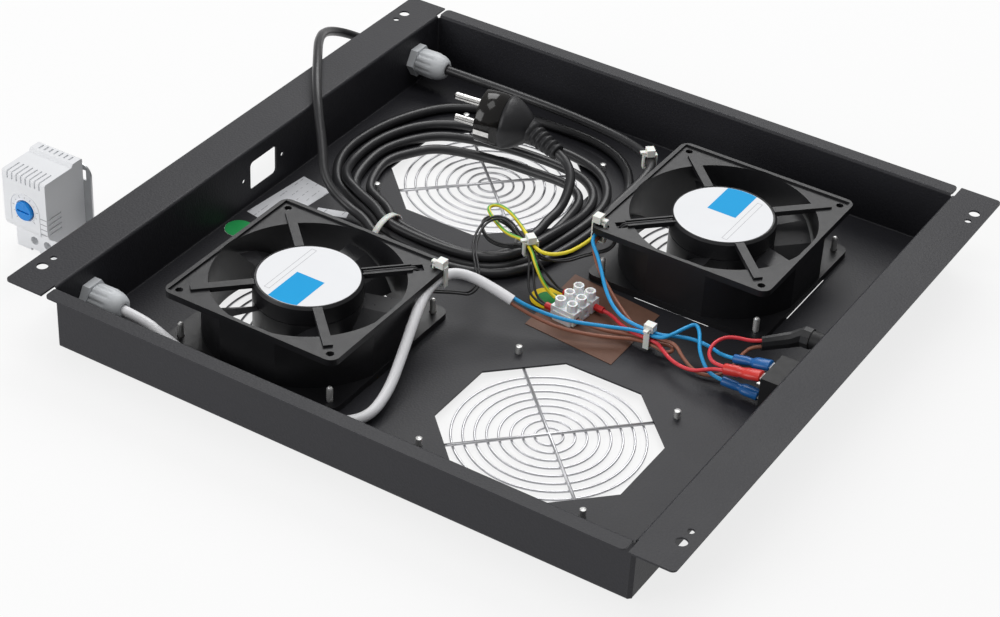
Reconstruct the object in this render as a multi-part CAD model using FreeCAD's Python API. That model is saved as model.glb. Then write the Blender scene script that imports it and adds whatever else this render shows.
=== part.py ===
import FreeCAD, Part
import math
import os

Vector = FreeCAD.Vector
up = Vector(0, 0, 1)
os.makedirs("parts", exist_ok=True)

# A rack fan tray: a folded sheet-metal tray with four octagonal fan openings, two of them with
# axial fans, the mains lead and its plug, the wiring, the rocker switch and fuse holder, and the
# cabinet thermostat on its own lead.
# Origin: the centre of the four large flange holes, on the underside of the side flanges.
# +X runs along the front wall to the switch wall, +Y to the back, +Z up. All sizes in millimetres.

# ---------------------------------------------------------------- driving dimensions
tray_width = 380.0            # outside the side walls, along X
tray_depth = 398.0            # outside the front and back walls, along Y
tray_height = 41.0            # underside of the floor to the top of the flanges
sheet = 1.2                   # sheet thickness
bend_radius = 0.8             # inside radius of every fold
side_flange = 27.5            # side flange, outwards from its wall
end_flange = 9.4              # front and back flange, outwards from its wall
flange_corner_radius = 3.0
fold_gap = 0.4                # slit between neighbouring walls
flange_slit = 1.5             # slit between neighbouring flanges
flange_hole_edge = 8.5        # centres of the flange holes to the flange's outer edge
flange_hole_radius = 3.5
flange_hole_pitch = 372.0     # large holes, along Y
pilot_hole_radius = 2.1
pilot_hole_pitch = 352.0      # small holes, along Y

fan_pitch_x = 165.0
fan_pitch_y = 200.4
fan_field_x = 1.0             # the four openings' centre, from the tray's centre
fan_field_y = -3.0
opening_flats = 120.4         # octagon, across flats
fan_hole_inset = 7.25         # centres of the fan's screw holes to its sides
fan_hole_radius = 2.2

guard_wire = 1.6
guard_rod_radius = 1.0
guard_ring_count = 8
guard_inner_radius = 8.0
guard_outer_radius = 55.0
guard_eye_radius = 4.2

screw_radius = 2.0
screw_head_radius = 3.9
screw_head_height = 2.4
short_screw_length = 8.2
long_screw_length = 17.0

fan_size = 119.5
fan_depth = 38.0
fan_corner_radius = 6.0
fan_flange = 4.2
fan_duct_edge = 2.25          # least wall between the air duct and the fan's sides
fan_duct_wall = 4.5           # duct wall in the open corners
hub_radius = 32.4
motor_housing_depth = 12.0
running_gap = 0.6
tip_clearance = 1.2
rotor_low = 4.0                # above the frame's base
blade_top = 31.5
blade_middle = 17.0            # height of the blades' middle
stator_radius = 20.5
blade_count = 5
blade_thickness = 1.8
blade_chord = 36.0
blade_root_pitch = 38.0       # degrees from the plane of rotation
blade_tip_pitch = 27.0
strut_width = 5.5
channel_half = 2.15            # half the inside width of the channel strut
notch_inset = 7.0             # leads' notch in the upper flange, outwards from the air duct
strut_depth = 3.2
shaft_radius = 2.0
shaft_clearance = 0.03         # radial, in the bush
shaft_fit = 0.01               # radial, in the rotor's boss
bearing_radius = 4.5
bearing_length = 18.0
sleeve_wall = 1.4
sleeve_low = 9.5              # lower end of the bearing sleeve, above the frame's base
label_radius = 30.3
label_thickness = 0.3

gland_end_gap = 29.0          # both cable glands, from the end walls
gland_height = 20.0           # above the floor's underside
gland_thread_radius = 7.6
gland_hole_clearance = 0.2
gland_hex_flats = 19.0
gland_hex_length = 5.0
gland_nut_length = 20.5
gland_nut_radius = 9.6
gland_lock_length = 4.6
gland_tail = 3.4              # thread past the lock nut

mains_diameter = 6.2
thermostat_lead_diameter = 6.4
wire_diameter = 2.4
fan_lead_diameter = 1.4
cord_fit = 0.05               # radial clearance of a cord in what holds it
cord_sides = 6                # flats of a cord's section

inlet_width = 27.0            # empty appliance-inlet cut-out in the left wall
inlet_height = 20.0
inlet_y = -1.5
inlet_z = 20.6                # above the floor's underside
inlet_corner = 3.0
inlet_screw_pitch = 40.0
inlet_screw_radius = 1.6

switch_width = 27.0           # along Y
switch_height = 21.4
switch_depth = 18.4           # behind the wall
switch_y = -6.5
switch_z = 14.2               # above the floor's underside
switch_bezel = 1.6            # bezel overhang round the cut-out
switch_bezel_depth = 2.0
switch_clearance = 0.2
terminal_pitch_y = 12.0
terminal_pitch_z = 14.0
terminal_tilt = 12.0          # the upper pair hangs down, in degrees
blade_terminal_width = 6.3
blade_terminal_thickness = 0.8
blade_terminal_length = 9.0

fuse_y = 37.0
fuse_height = 20.0            # above the floor's underside
fuse_radius = 5.6
fuse_flange_radius = 8.2
fuse_depth = 17.6
fuse_cap_radius = 6.4
fuse_cap_depth = 7.0
fuse_cap_skirt = 4.2
fuse_link_radius = 2.5
fuse_link_length = 20.0

thermostat_x = -264.0         # centre of the housing
thermostat_front = -138.0
thermostat_width = 33.0
thermostat_height = 60.0
thermostat_body_depth = 24.5
thermostat_back_depth = 10.0
thermostat_step = 9.0         # terminals stand back from the dial face
thermostat_step_height = 19.0
knob_radius = 6.3
knob_depth = 2.6
knob_height = 36.5            # above the surface that the thermostat stands on
bracket_width = 45.0
bracket_height = 58.0
bracket_sheet = 1.2

block_width = 27.0            # three-pole terminal block
block_depth = 17.0
block_height = 9.0
block_pole_pitch = 9.0
block_angle = -6.0            # turned a little about Z
tower_radius = 3.1
tower_height = 5.0
tower_offset = 4.3            # either side of the block's middle, along the wires
tunnel_radius = 1.95
tunnel_height = 4.0
ferrule_radius = 2.0
ferrule_length = 6.0

rocker_axis_out = -1.0        # rocker's pivot, outwards from the wall's outer face
rocker_half = 10.6            # half its length
rocker_half_z = 7.4
rocker_swing = -9.0           # degrees from the middle to the pressed end
connector_length = 26.5       # blade's root to the open end of its connector
sleeve_start = 2.5
bore_depth = 7.0
wire_bore = 1.5
red_bore_offset = 1.62

sheet_insulator_thickness = 0.4
sticker_thickness = 0.15
earth_sticker_radius = 11.0
round_label_radius = 9.0
tie_width = 3.6
tie_band = 1.0
plug_face_radius = 18.4
plug_pin_radius = 2.4
plug_pin_length = 19.0
plug_pin_pitch = 19.0

# ---------------------------------------------------------------- derived places
underside = sheet - tray_height               # underside of the floor
floor_top = underside + sheet
fan_bore = fan_size / 2 - fan_duct_edge
fan_open_corner_radius = fan_bore + fan_duct_wall
fan_hole_pitch = fan_size - 2 * fan_hole_inset
notch_middle = fan_bore + notch_inset
wall_x = tray_width / 2
gland_y = tray_depth / 2 - gland_end_gap
wall_y = tray_depth / 2
inner_x = wall_x - sheet
inner_y = wall_y - sheet
ground = underside - 2 * guard_rod_radius - screw_head_height
front_y = fan_field_y - fan_pitch_y / 2
back_y = fan_field_y + fan_pitch_y / 2
left_x = fan_field_x - fan_pitch_x / 2
right_x = fan_field_x + fan_pitch_x / 2
front_fan = Vector(left_x, front_y, floor_top)
rear_fan = Vector(right_x, back_y, floor_top)
openings = {
    "front_left": (left_x, front_y),
    "front_right": (right_x, front_y),
    "back_left": (left_x, back_y),
    "back_right": (right_x, back_y),
}
fan_positions = ("front_left", "back_right")
solids = {}


# ---------------------------------------------------------------- helpers
def at(x, y, height):
    """A point by its height above the floor's underside."""
    return Vector(x, y, underside + height)


def block(x0, y0, z0, x1, y1, z1):
    return Part.makeBox(x1 - x0, y1 - y0, z1 - z0, Vector(x0, y0, z0))


def rod(radius, start, end):
    axis = end - start
    return Part.makeCylinder(radius, axis.Length, start, axis)


def closed_face(points):
    return Part.Face(Part.makePolygon(list(points) + [points[0]]))


def turned(profile, base=Vector(0, 0, 0)):
    """A solid of revolution about Z from (radius, height) points."""
    face = closed_face([Vector(r, 0, z) for r, z in profile])
    solid = face.revolve(Vector(0, 0, 0), Vector(0, 0, 1), 360)
    solid.translate(base)
    return solid


def rounded_wire(points, radii):
    """A closed outline in the plane of its points, each corner rounded by its own radius."""
    edges = []
    starts = []
    ends = []
    count = len(points)
    for index, corner in enumerate(points):
        before = (points[index - 1] - corner).normalize()
        after = (points[(index + 1) % count] - corner).normalize()
        turn = math.pi - before.getAngle(after)
        setback = radii[index] * math.tan(turn / 2)
        starts.append(corner + before * setback)
        ends.append(corner + after * setback)
        if radii[index] > 0:
            bisector = (before + after).normalize()
            reach = radii[index] / math.cos(turn / 2) - radii[index]
            middle = corner + bisector * reach
            edges.append(Part.Arc(starts[index], middle, ends[index]).toShape())
        following = points[(index + 1) % count]
        back = (corner - following).normalize()
        next_after = (points[(index + 2) % count] - following).normalize()
        next_turn = math.pi - back.getAngle(next_after)
        next_start = following + back * (radii[(index + 1) % count] * math.tan(next_turn / 2))
        if (next_start - ends[index]).Length > 0.001:
            edges.append(Part.LineSegment(ends[index], next_start).toShape())
    return Part.Wire(Part.__sortEdges__(edges))


def rounded_plate(width, depth, radius, low, high, centre=(0, 0)):
    half_w = width / 2
    half_d = depth / 2
    cx, cy = centre
    corners = [
        Vector(cx - half_w, cy - half_d, low),
        Vector(cx + half_w, cy - half_d, low),
        Vector(cx + half_w, cy + half_d, low),
        Vector(cx - half_w, cy + half_d, low),
    ]
    face = Part.Face(rounded_wire(corners, [radius] * 4))
    return face.extrude(Vector(0, 0, high - low))


def regular_prism(sides, flats, start, direction, length, turn=0.0):
    """A prism with its flats given across, standing on start along direction."""
    reach = flats / 2 / math.cos(math.pi / sides)
    corners = []
    for index in range(sides):
        angle = math.radians(turn) + 2 * math.pi * (index + 0.5) / sides
        corners.append(Vector(reach * math.cos(angle), reach * math.sin(angle), 0))
    prism = closed_face(corners).extrude(Vector(0, 0, length))
    prism.Placement = FreeCAD.Placement(start, FreeCAD.Rotation(Vector(0, 0, 1), direction))
    return prism


def faceted(sides, profile, start, direction):
    """A solid of regular sections, (flats across, distance along direction) for each."""
    sections = []
    for flats, distance in profile:
        reach = flats / 2 / math.cos(math.pi / sides)
        corners = []
        for index in range(sides):
            angle = 2 * math.pi * (index + 0.5) / sides
            corners.append(Vector(reach * math.cos(angle), reach * math.sin(angle), distance))
        sections.append(Part.makePolygon(corners + [corners[0]]))
    solid = Part.makeLoft(sections, True, True)
    solid.Placement = FreeCAD.Placement(start, FreeCAD.Rotation(up, direction))
    return solid


def oval_section(centre, direction, across, tall, sides=10):
    """A many-sided oval square to direction, its taller axis nearest to upright."""
    reference = up if abs(direction.z) < 0.9 else Vector(0, 1, 0)
    side = reference.cross(direction).normalize()
    lift = direction.cross(side)
    points = []
    for index in range(sides):
        angle = 2 * math.pi * index / sides
        points.append(centre + side * (across * math.cos(angle)) + lift * (tall * math.sin(angle)))
    return Part.makePolygon(points + [points[0]])


def screw_hole(base, length, radius=None):
    """A small eight-sided hole whose flats clear the screw."""
    flats = 2 * ((radius or screw_radius) + cord_fit)
    return regular_prism(8, flats, base, up, length)


def fused(first, *others):
    return first.fuse(list(others)).removeSplitter()


def cord_path(points, name):
    """Straight runs joined by tangent arcs, each as large as its two runs allow."""
    edges = []
    last = points[0]
    radii = []
    for before, corner, after in zip(points, points[1:], points[2:]):
        into = before - corner
        out = after - corner
        shorter = min(into.Length, out.Length)
        turn = math.pi - into.getAngle(out)
        radius = 0.45 * shorter / math.tan(turn / 2)
        setback = 0.45 * shorter
        into.normalize()
        out.normalize()
        start = corner + into * setback
        end = corner + out * setback
        bisector = (into + out).normalize()
        middle = corner + bisector * (radius / math.cos(turn / 2) - radius)
        edges.append(Part.LineSegment(last, start).toShape())
        edges.append(Part.Arc(start, middle, end).toShape())
        last = end
        radii.append(radius)
    edges.append(Part.LineSegment(last, points[-1]).toShape())
    path = Part.Wire(edges)
    if radii:
        print("%s length %.0f smallest radius %.1f" % (name, path.Length, min(radii)))
    return path


def section_reach(diameter, sides=cord_sides):
    """Centre to corner of the many-sided section that has a round cord's area."""
    return diameter / 2 * math.sqrt(2 * math.pi / (sides * math.sin(2 * math.pi / sides)))


def cord(points, diameter, name, sides=cord_sides):
    """A cord's tube: a many-sided section of the cord's own area swept along its route."""
    path = cord_path(points, name)
    start = points[0]
    along = points[1] - points[0]
    reach = section_reach(diameter, sides)
    corners = []
    for index in range(sides):
        angle = 2 * math.pi * (index + 0.5) / sides
        corners.append(Vector(reach * math.cos(angle), reach * math.sin(angle), 0))
    section = Part.makePolygon(corners + [corners[0]])
    section.Placement = FreeCAD.Placement(start, FreeCAD.Rotation(Vector(0, 0, 1), along))
    tube = path.makePipeShell([section], True, False)
    expected = math.pi * diameter ** 2 / 4 * path.Length
    if abs(tube.Volume / expected - 1) > 0.02 or not tube.isValid():
        print("check", name, tube.Volume / expected, tube.isValid())
    return tube


def keep(name, shape):
    """Store a node: one solid, or a group of separate solids."""
    solids[name] = shape


def group(shapes):
    return Part.makeCompound(shapes)


# ---------------------------------------------------------------- tray: one folded blank
def folded_wall(length):
    """Floor fold and wall in the XZ plane, running along Y: the wall's outside is at x = 0."""
    outer = bend_radius + sheet
    bend = outer
    corner = math.sqrt(0.5)
    inner_centre = Vector(-outer, 0, underside + outer)
    edges = [
        Part.LineSegment(Vector(-bend, 0, floor_top), Vector(-bend, 0, underside)).toShape(),
        Part.Arc(
            Vector(-bend, 0, underside),
            inner_centre + Vector(outer * corner, 0, -outer * corner),
            Vector(0, 0, underside + outer),
        ).toShape(),
        Part.LineSegment(Vector(0, 0, underside + outer), Vector(0, 0, -bend_radius)).toShape(),
        Part.LineSegment(Vector(0, 0, -bend_radius), Vector(-sheet, 0, -bend_radius)).toShape(),
        Part.LineSegment(
            Vector(-sheet, 0, -bend_radius), Vector(-sheet, 0, floor_top + bend_radius)
        ).toShape(),
        Part.Arc(
            Vector(-sheet, 0, floor_top + bend_radius),
            inner_centre + Vector(bend_radius * corner, 0, -bend_radius * corner),
            Vector(-bend, 0, floor_top),
        ).toShape(),
    ]
    face = Part.Face(Part.Wire(edges))
    face.translate(Vector(0, -length / 2, 0))
    return face.extrude(Vector(0, length, 0))


def flange_fold(length):
    """The outward fold at a wall's top, running along Y."""
    outer = bend_radius + sheet
    corner = math.sqrt(0.5)
    centre = Vector(bend_radius, 0, -bend_radius)
    edges = [
        Part.Arc(
            Vector(0, 0, -bend_radius),
            centre + Vector(-bend_radius * corner, 0, bend_radius * corner),
            Vector(bend_radius, 0, 0),
        ).toShape(),
        Part.LineSegment(Vector(bend_radius, 0, 0), Vector(bend_radius, 0, sheet)).toShape(),
        Part.Arc(
            Vector(bend_radius, 0, sheet),
            centre + Vector(-outer * corner, 0, outer * corner),
            Vector(-sheet, 0, -bend_radius),
        ).toShape(),
        Part.LineSegment(Vector(-sheet, 0, -bend_radius), Vector(0, 0, -bend_radius)).toShape(),
    ]
    face = Part.Face(Part.Wire(edges))
    face.translate(Vector(0, -length / 2, 0))
    return face.extrude(Vector(0, length, 0))


def flange_plate(length, width, radius):
    """The flat of a flange, its two outer corners rounded."""
    corners = [
        Vector(bend_radius, -length / 2, 0),
        Vector(width, -length / 2, 0),
        Vector(width, length / 2, 0),
        Vector(bend_radius, length / 2, 0),
    ]
    face = Part.Face(rounded_wire(corners, [0, radius, radius, 0]))
    return face.extrude(Vector(0, 0, sheet))


def folded_side(wall_length, flange_length, flange_width):
    wall = folded_wall(wall_length)
    fold = flange_fold(wall_length)
    plate = flange_plate(flange_length, flange_width, flange_corner_radius)
    return fused(wall, fold, plate)


def placed(shape, x, y, turn):
    copy = shape.copy()
    copy.rotate(Vector(0, 0, 0), Vector(0, 0, 1), turn)
    copy.translate(Vector(x, y, 0))
    return copy


def octagon(centre, flats, low, high):
    start = Vector(centre[0], centre[1], low)
    return regular_prism(8, flats, start, Vector(0, 0, 1), high - low)


def screw_places(centre):
    half = fan_hole_pitch / 2
    places = []
    for sx in (-1, 1):
        for sy in (-1, 1):
            places.append(Vector(centre[0] + sx * half, centre[1] + sy * half, 0))
    return places


def gland_axis(side):
    return Vector(-wall_x, side * gland_y, underside + gland_height)


def tray():
    bend = bend_radius + sheet
    floor = block(-wall_x + bend, -wall_y + bend, underside, wall_x - bend, wall_y - bend, floor_top)
    end_wall = folded_side(tray_width - 2 * bend, tray_width - 2 * flange_slit, end_flange)
    side_wall = folded_side(
        tray_depth - 2 * bend, tray_depth + 2 * end_flange, side_flange
    )
    shell = fused(
        floor,
        placed(side_wall, wall_x, 0, 0),
        placed(side_wall, -wall_x, 0, 180),
        placed(end_wall, 0, wall_y, 90),
        placed(end_wall, 0, -wall_y, 270),
    )
    cutters = []
    for centre in openings.values():
        cutters.append(octagon(centre, opening_flats, underside - 1, floor_top + 1))
        for place in screw_places(centre):
            cutters.append(screw_hole(Vector(place.x, place.y, underside - 1), sheet + 2))
    hole_x = wall_x + side_flange - flange_hole_edge
    for sx in (-1, 1):
        for sy in (-1, 1):
            large = Vector(sx * hole_x, sy * flange_hole_pitch / 2, -1)
            small = Vector(sx * hole_x, sy * pilot_hole_pitch / 2, -1)
            cutters.append(Part.makeCylinder(flange_hole_radius, sheet + 2, large))
            cutters.append(Part.makeCylinder(pilot_hole_radius, sheet + 2, small))
    for side in (-1, 1):
        start = gland_axis(side) - Vector(1, 0, 0)
        radius = gland_thread_radius + gland_hole_clearance
        cutters.append(Part.makeCylinder(radius, sheet + 2, start, Vector(1, 0, 0)))
    cutters.append(inlet_cutter())
    cutters.append(
        block(
            inner_x - 1,
            switch_y - switch_width / 2 - switch_clearance,
            underside + switch_z - switch_height / 2 - switch_clearance,
            wall_x + 1,
            switch_y + switch_width / 2 + switch_clearance,
            underside + switch_z + switch_height / 2 + switch_clearance,
        )
    )
    fuse_start = Vector(inner_x - 1, fuse_y, underside + fuse_height)
    cutters.append(
        Part.makeCylinder(fuse_radius + switch_clearance, sheet + 2, fuse_start, Vector(1, 0, 0))
    )
    return shell.cut(cutters)


def inlet_cutter():
    """The empty appliance-inlet opening in the left wall, with its two screw holes."""
    middle = underside + inlet_z
    half_w = inlet_width / 2
    half_h = inlet_height / 2
    x = -wall_x - 1
    corners = [
        Vector(x, inlet_y - half_w, middle - half_h),
        Vector(x, inlet_y + half_w, middle - half_h),
        Vector(x, inlet_y + half_w, middle + half_h),
        Vector(x, inlet_y - half_w, middle + half_h),
    ]
    opening = Part.Face(rounded_wire(corners, [inlet_corner] * 4)).extrude(Vector(sheet + 2, 0, 0))
    holes = []
    for side in (-1, 1):
        start = Vector(x, inlet_y + side * inlet_screw_pitch / 2, middle)
        holes.append(Part.makeCylinder(inlet_screw_radius, sheet + 2, start, Vector(1, 0, 0)))
    return opening.fuse(holes)


keep("tray", tray())


# ---------------------------------------------------------------- finger guards under the floor
def square_ring(radius, wire, sides, top):
    """A wire ring of square section, bent from equal flats."""
    points = []
    for index in range(sides):
        angle = 2 * math.pi * index / sides
        points.append(Vector(radius * math.cos(angle), radius * math.sin(angle), 0))
    outer = [p * ((radius + wire / 2) / radius) + Vector(0, 0, top - wire) for p in points]
    inner = [p * ((radius - wire / 2) / radius) + Vector(0, 0, top - wire) for p in points]
    face = closed_face(outer).cut(closed_face(inner))
    return face.extrude(Vector(0, 0, wire))


def finger_guard():
    """Two crossed rods that end in screw eyes, with the rings welded under them."""
    reach = fan_hole_pitch / 2
    rod_axis = underside - guard_rod_radius
    parts = []
    for direction in (-1, 1):
        start = Vector(-reach, -direction * reach, rod_axis)
        end = Vector(reach, direction * reach, rod_axis)
        along = (end - start).normalize()
        clear = along * (screw_radius + 1.2)
        length = (end - start).Length - 2 * clear.Length
        parts.append(regular_prism(4, 2 * guard_rod_radius, start + clear, along, length, 45))
    rod_bottom = underside - 2 * guard_rod_radius
    holes = []
    for place in screw_places((0, 0)):
        base = Vector(place.x, place.y, rod_bottom)
        parts.append(regular_prism(8, 2 * guard_eye_radius, base, up, 2 * guard_rod_radius))
        holes.append(screw_hole(base - up, 2 * guard_rod_radius + 2))
    cross = fused(*parts).cut(holes)
    rings = []
    step = (guard_outer_radius - guard_inner_radius) / (guard_ring_count - 1)
    for index in range(guard_ring_count):
        sides = 8 if index < 4 else 12
        rings.append(square_ring(guard_inner_radius + index * step, guard_wire, sides, rod_bottom))
    return group([cross] + rings)


guard_shape = finger_guard()
for place_name, centre in openings.items():
    guard_copy = guard_shape.copy()
    guard_copy.translate(Vector(centre[0], centre[1], 0))
    keep("finger_guard_" + place_name, guard_copy)


# ---------------------------------------------------------------- screws through eyes and floor
def pan_head_screw(place, length):
    """A pan-head screw from below: the head bears on the guard's eye."""
    seat = Vector(place.x, place.y, underside - 2 * guard_rod_radius)
    head = regular_prism(8, 2 * screw_head_radius, seat, Vector(0, 0, -1), screw_head_height)
    shank = regular_prism(6, 2 * screw_radius * math.cos(math.pi / 6), seat, up, length)
    return head.fuse(shank)


short_screws = []
long_screws = []
for place_name, centre in openings.items():
    for place in screw_places(centre):
        if place_name in fan_positions:
            long_screws.append(pan_head_screw(place, long_screw_length))
        else:
            short_screws.append(pan_head_screw(place, short_screw_length))
keep("guard_screws", group(short_screws))
keep("fan_screws", group(long_screws))


# ---------------------------------------------------------------- axial fans
def fan_frame():
    """Open-corner fan housing: duct block, two flanges, the fixed motor housing and its struts."""
    half_pitch = fan_hole_pitch / 2
    duct = block(-fan_size / 2 + 0.8, -fan_size / 2 + 0.8, fan_flange - 0.5,
                 fan_size / 2 - 0.8, fan_size / 2 - 0.8, fan_depth - fan_flange + 0.5)
    duct = duct.common(Part.makeCylinder(fan_open_corner_radius, fan_depth))
    lower = rounded_plate(fan_size, fan_size, fan_corner_radius, 0, fan_flange)
    upper = rounded_plate(
        fan_size, fan_size, fan_corner_radius, fan_depth - fan_flange, fan_depth
    )
    shell = fused(duct, lower, upper)
    cutters = [Part.makeCylinder(fan_bore, fan_depth + 2, Vector(0, 0, -1))]
    for place in screw_places((0, 0)):
        cutters.append(screw_hole(Vector(place.x, place.y, -1), fan_depth + 2, fan_hole_radius))
    shell = shell.cut(cutters).cut(corner_recess())
    shell = shell.cut(lead_notch())
    housing = turned(
        [
            (0, fan_depth - motor_housing_depth),
            (hub_radius, fan_depth - motor_housing_depth),
            (hub_radius, fan_depth - 1.5),
            (hub_radius - 1.5, fan_depth),
            (label_radius + 0.3, fan_depth),
            (label_radius + 0.3, fan_depth - label_thickness),
            (0, fan_depth - label_thickness),
        ]
    )
    sleeve_top = fan_depth - motor_housing_depth
    sleeve = Part.makeCylinder(
        bearing_radius + sleeve_wall, sleeve_top - sleeve_low + 1, Vector(0, 0, sleeve_low)
    )
    struts = []
    for quarter in range(4):
        struts.append(strut(quarter * 90 + 45, quarter == 0))
    frame = fused(shell, housing, sleeve, *struts)
    bore_top = fan_depth - 3.0
    bore = Part.makeCylinder(
        bearing_radius + 0.01, bore_top - sleeve_low + 1, Vector(0, 0, sleeve_low - 1)
    )
    return frame.cut(bore)


def corner_recess():
    """The shallow well in the upper flange, between its rim and the four corner pads."""
    half = fan_size / 2 - 2.6
    pad = 86.0
    well = block(-half, -half, fan_depth - 1.4, half, half, fan_depth + 1)
    diamond = regular_prism(4, pad * 2, Vector(0, 0, fan_depth - 2), Vector(0, 0, 1), 4, 45)
    return well.common(diamond)


def lead_notch():
    """The square notch through which the motor's two leads drop past the upper flange."""
    notch = block(notch_middle - 3.2, -3.2, fan_depth - fan_flange - 1,
                  notch_middle + 3.2, 3.2, fan_depth + 1)
    groove = block(fan_bore - 3, -channel_half, fan_depth - strut_depth + 1.0,
                   notch_middle, channel_half, fan_depth + 1)
    notch = notch.fuse(groove)
    notch.rotate(Vector(0, 0, 0), up, 45)
    return notch


def strut(angle, channel):
    """A strut from the motor housing to the flange; the channel form carries the leads."""
    low = fan_depth - strut_depth
    inner = hub_radius - 1
    outer = 61.0 if channel else 68.0
    if not channel:
        bar = block(inner, -strut_width / 2, low, outer, strut_width / 2, fan_depth)
    else:
        half = channel_half + 1.2
        floor = block(inner, -half, low, outer, half, low + 1.0)
        left = block(inner, -half, low, outer, -channel_half, fan_depth)
        right = block(inner, channel_half, low, outer, half, fan_depth)
        bar = fused(floor, left, right)
    bar.rotate(Vector(0, 0, 0), Vector(0, 0, 1), angle)
    return bar


def blade():
    """One twisted blade, ruled between a cambered section at the hub and one at the tip."""
    def section(x, pitch, chord):
        half = chord / 2
        camber = chord * 0.07
        lower = camber - blade_thickness / 2
        upper = camber + blade_thickness / 2
        points = [
            Vector(x, -half, 0),
            Vector(x, -half * 0.35, lower * 0.9),
            Vector(x, half * 0.35, lower * 0.9),
            Vector(x, half, 0),
            Vector(x, half * 0.4, upper * 0.9),
            Vector(x, -half * 0.4, upper * 0.9),
        ]
        wire = Part.makePolygon(points + [points[0]])
        wire.rotate(Vector(0, 0, 0), Vector(1, 0, 0), pitch)
        wire.translate(Vector(0, 0, blade_middle))
        return wire
    root = section(hub_radius - 6, blade_root_pitch, blade_chord * 0.9)
    tip = section(fan_bore + 4, blade_tip_pitch, blade_chord * 1.15)
    return Part.makeLoft([root, tip], True, True)


def fan_rotor():
    """The impeller: a cup over the motor, with its blades moulded on."""
    top = fan_depth - motor_housing_depth - running_gap
    bore = shaft_radius + shaft_fit
    boss = shaft_radius + 2.5
    cup = turned(
        [
            (bore, rotor_low),
            (hub_radius - 3, rotor_low),
            (hub_radius, rotor_low + 2),
            (hub_radius, top),
            (hub_radius - 9.5, top),
            (hub_radius - 9.5, rotor_low + 4),
            (boss, rotor_low + 4),
            (boss, rotor_low + 4.6),
            (bore, rotor_low + 4.6),
        ]
    )
    blades = []
    sweep = Part.makeCylinder(fan_bore - tip_clearance, blade_top - rotor_low, Vector(0, 0, rotor_low))
    for index in range(blade_count):
        one = blade().common(sweep)
        one.rotate(Vector(0, 0, 0), up, index * 360.0 / blade_count + 10)
        blades.append(one)
    inside = Part.makeCylinder(hub_radius - 5, 40)
    above = Part.makeCylinder(hub_radius + running_gap, 20, Vector(0, 0, top))
    return fused(cup, *[one.cut([inside, above]) for one in blades])


def fan_stator():
    """The four-pole laminated core on the bearing sleeve, with its windings."""
    inner = 2 * (bearing_radius + sleeve_wall + 0.1)
    core = regular_prism(16, 2 * stator_radius, Vector(0, 0, 13.0), up, 8.0)
    windings = regular_prism(12, 30.0, Vector(0, 0, 10.5), up, 13.0)
    slots = []
    for index in range(4):
        slot = block(12.0, -2.0, 12, 22.0, 2.0, 22)
        slot.rotate(Vector(0, 0, 0), up, 45 + index * 90)
        slots.append(slot)
    hole = regular_prism(12, inner, Vector(0, 0, 9), up, 16)
    return fused(core.cut(slots), windings).cut(hole)


def fan_shaft():
    top = fan_depth - 4.0
    return Part.makeCylinder(shaft_radius, top - rotor_low, Vector(0, 0, rotor_low))


def fan_bearing():
    """The sintered bush in the sleeve."""
    low = sleeve_low + 1.0
    bush = Part.makeCylinder(bearing_radius, bearing_length, Vector(0, 0, low))
    bore = Part.makeCylinder(shaft_radius + shaft_clearance, bearing_length + 2, Vector(0, 0, low - 1))
    return bush.cut(bore)


fan_parts = {
    "fan_frame": fan_frame(),
    "fan_rotor": fan_rotor(),
    "fan_stator": fan_stator(),
    "fan_shaft": fan_shaft(),
    "fan_bearing": fan_bearing(),
}
disc_labels = []
for fan_name, base, turn in (("front_", front_fan, 0), ("rear_", rear_fan, 180)):
    for part_name, shape in fan_parts.items():
        copy = shape.copy()
        copy.rotate(Vector(0, 0, 0), Vector(0, 0, 1), turn)
        copy.translate(base)
        keep(fan_name + part_name, copy)
    label_low = base + Vector(0, 0, fan_depth - label_thickness)
    disc_labels.append(regular_prism(24, 2 * label_radius - 0.4, label_low, up, label_thickness))
keep("fan_labels", group(disc_labels))


# ---------------------------------------------------------------- cable glands in the left wall
def along_x(shape, start, direction=Vector(1, 0, 0)):
    """Stand a shape that was made along Z on start, pointing along direction."""
    shape.Placement = FreeCAD.Placement(start, FreeCAD.Rotation(up, direction))
    return shape


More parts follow.
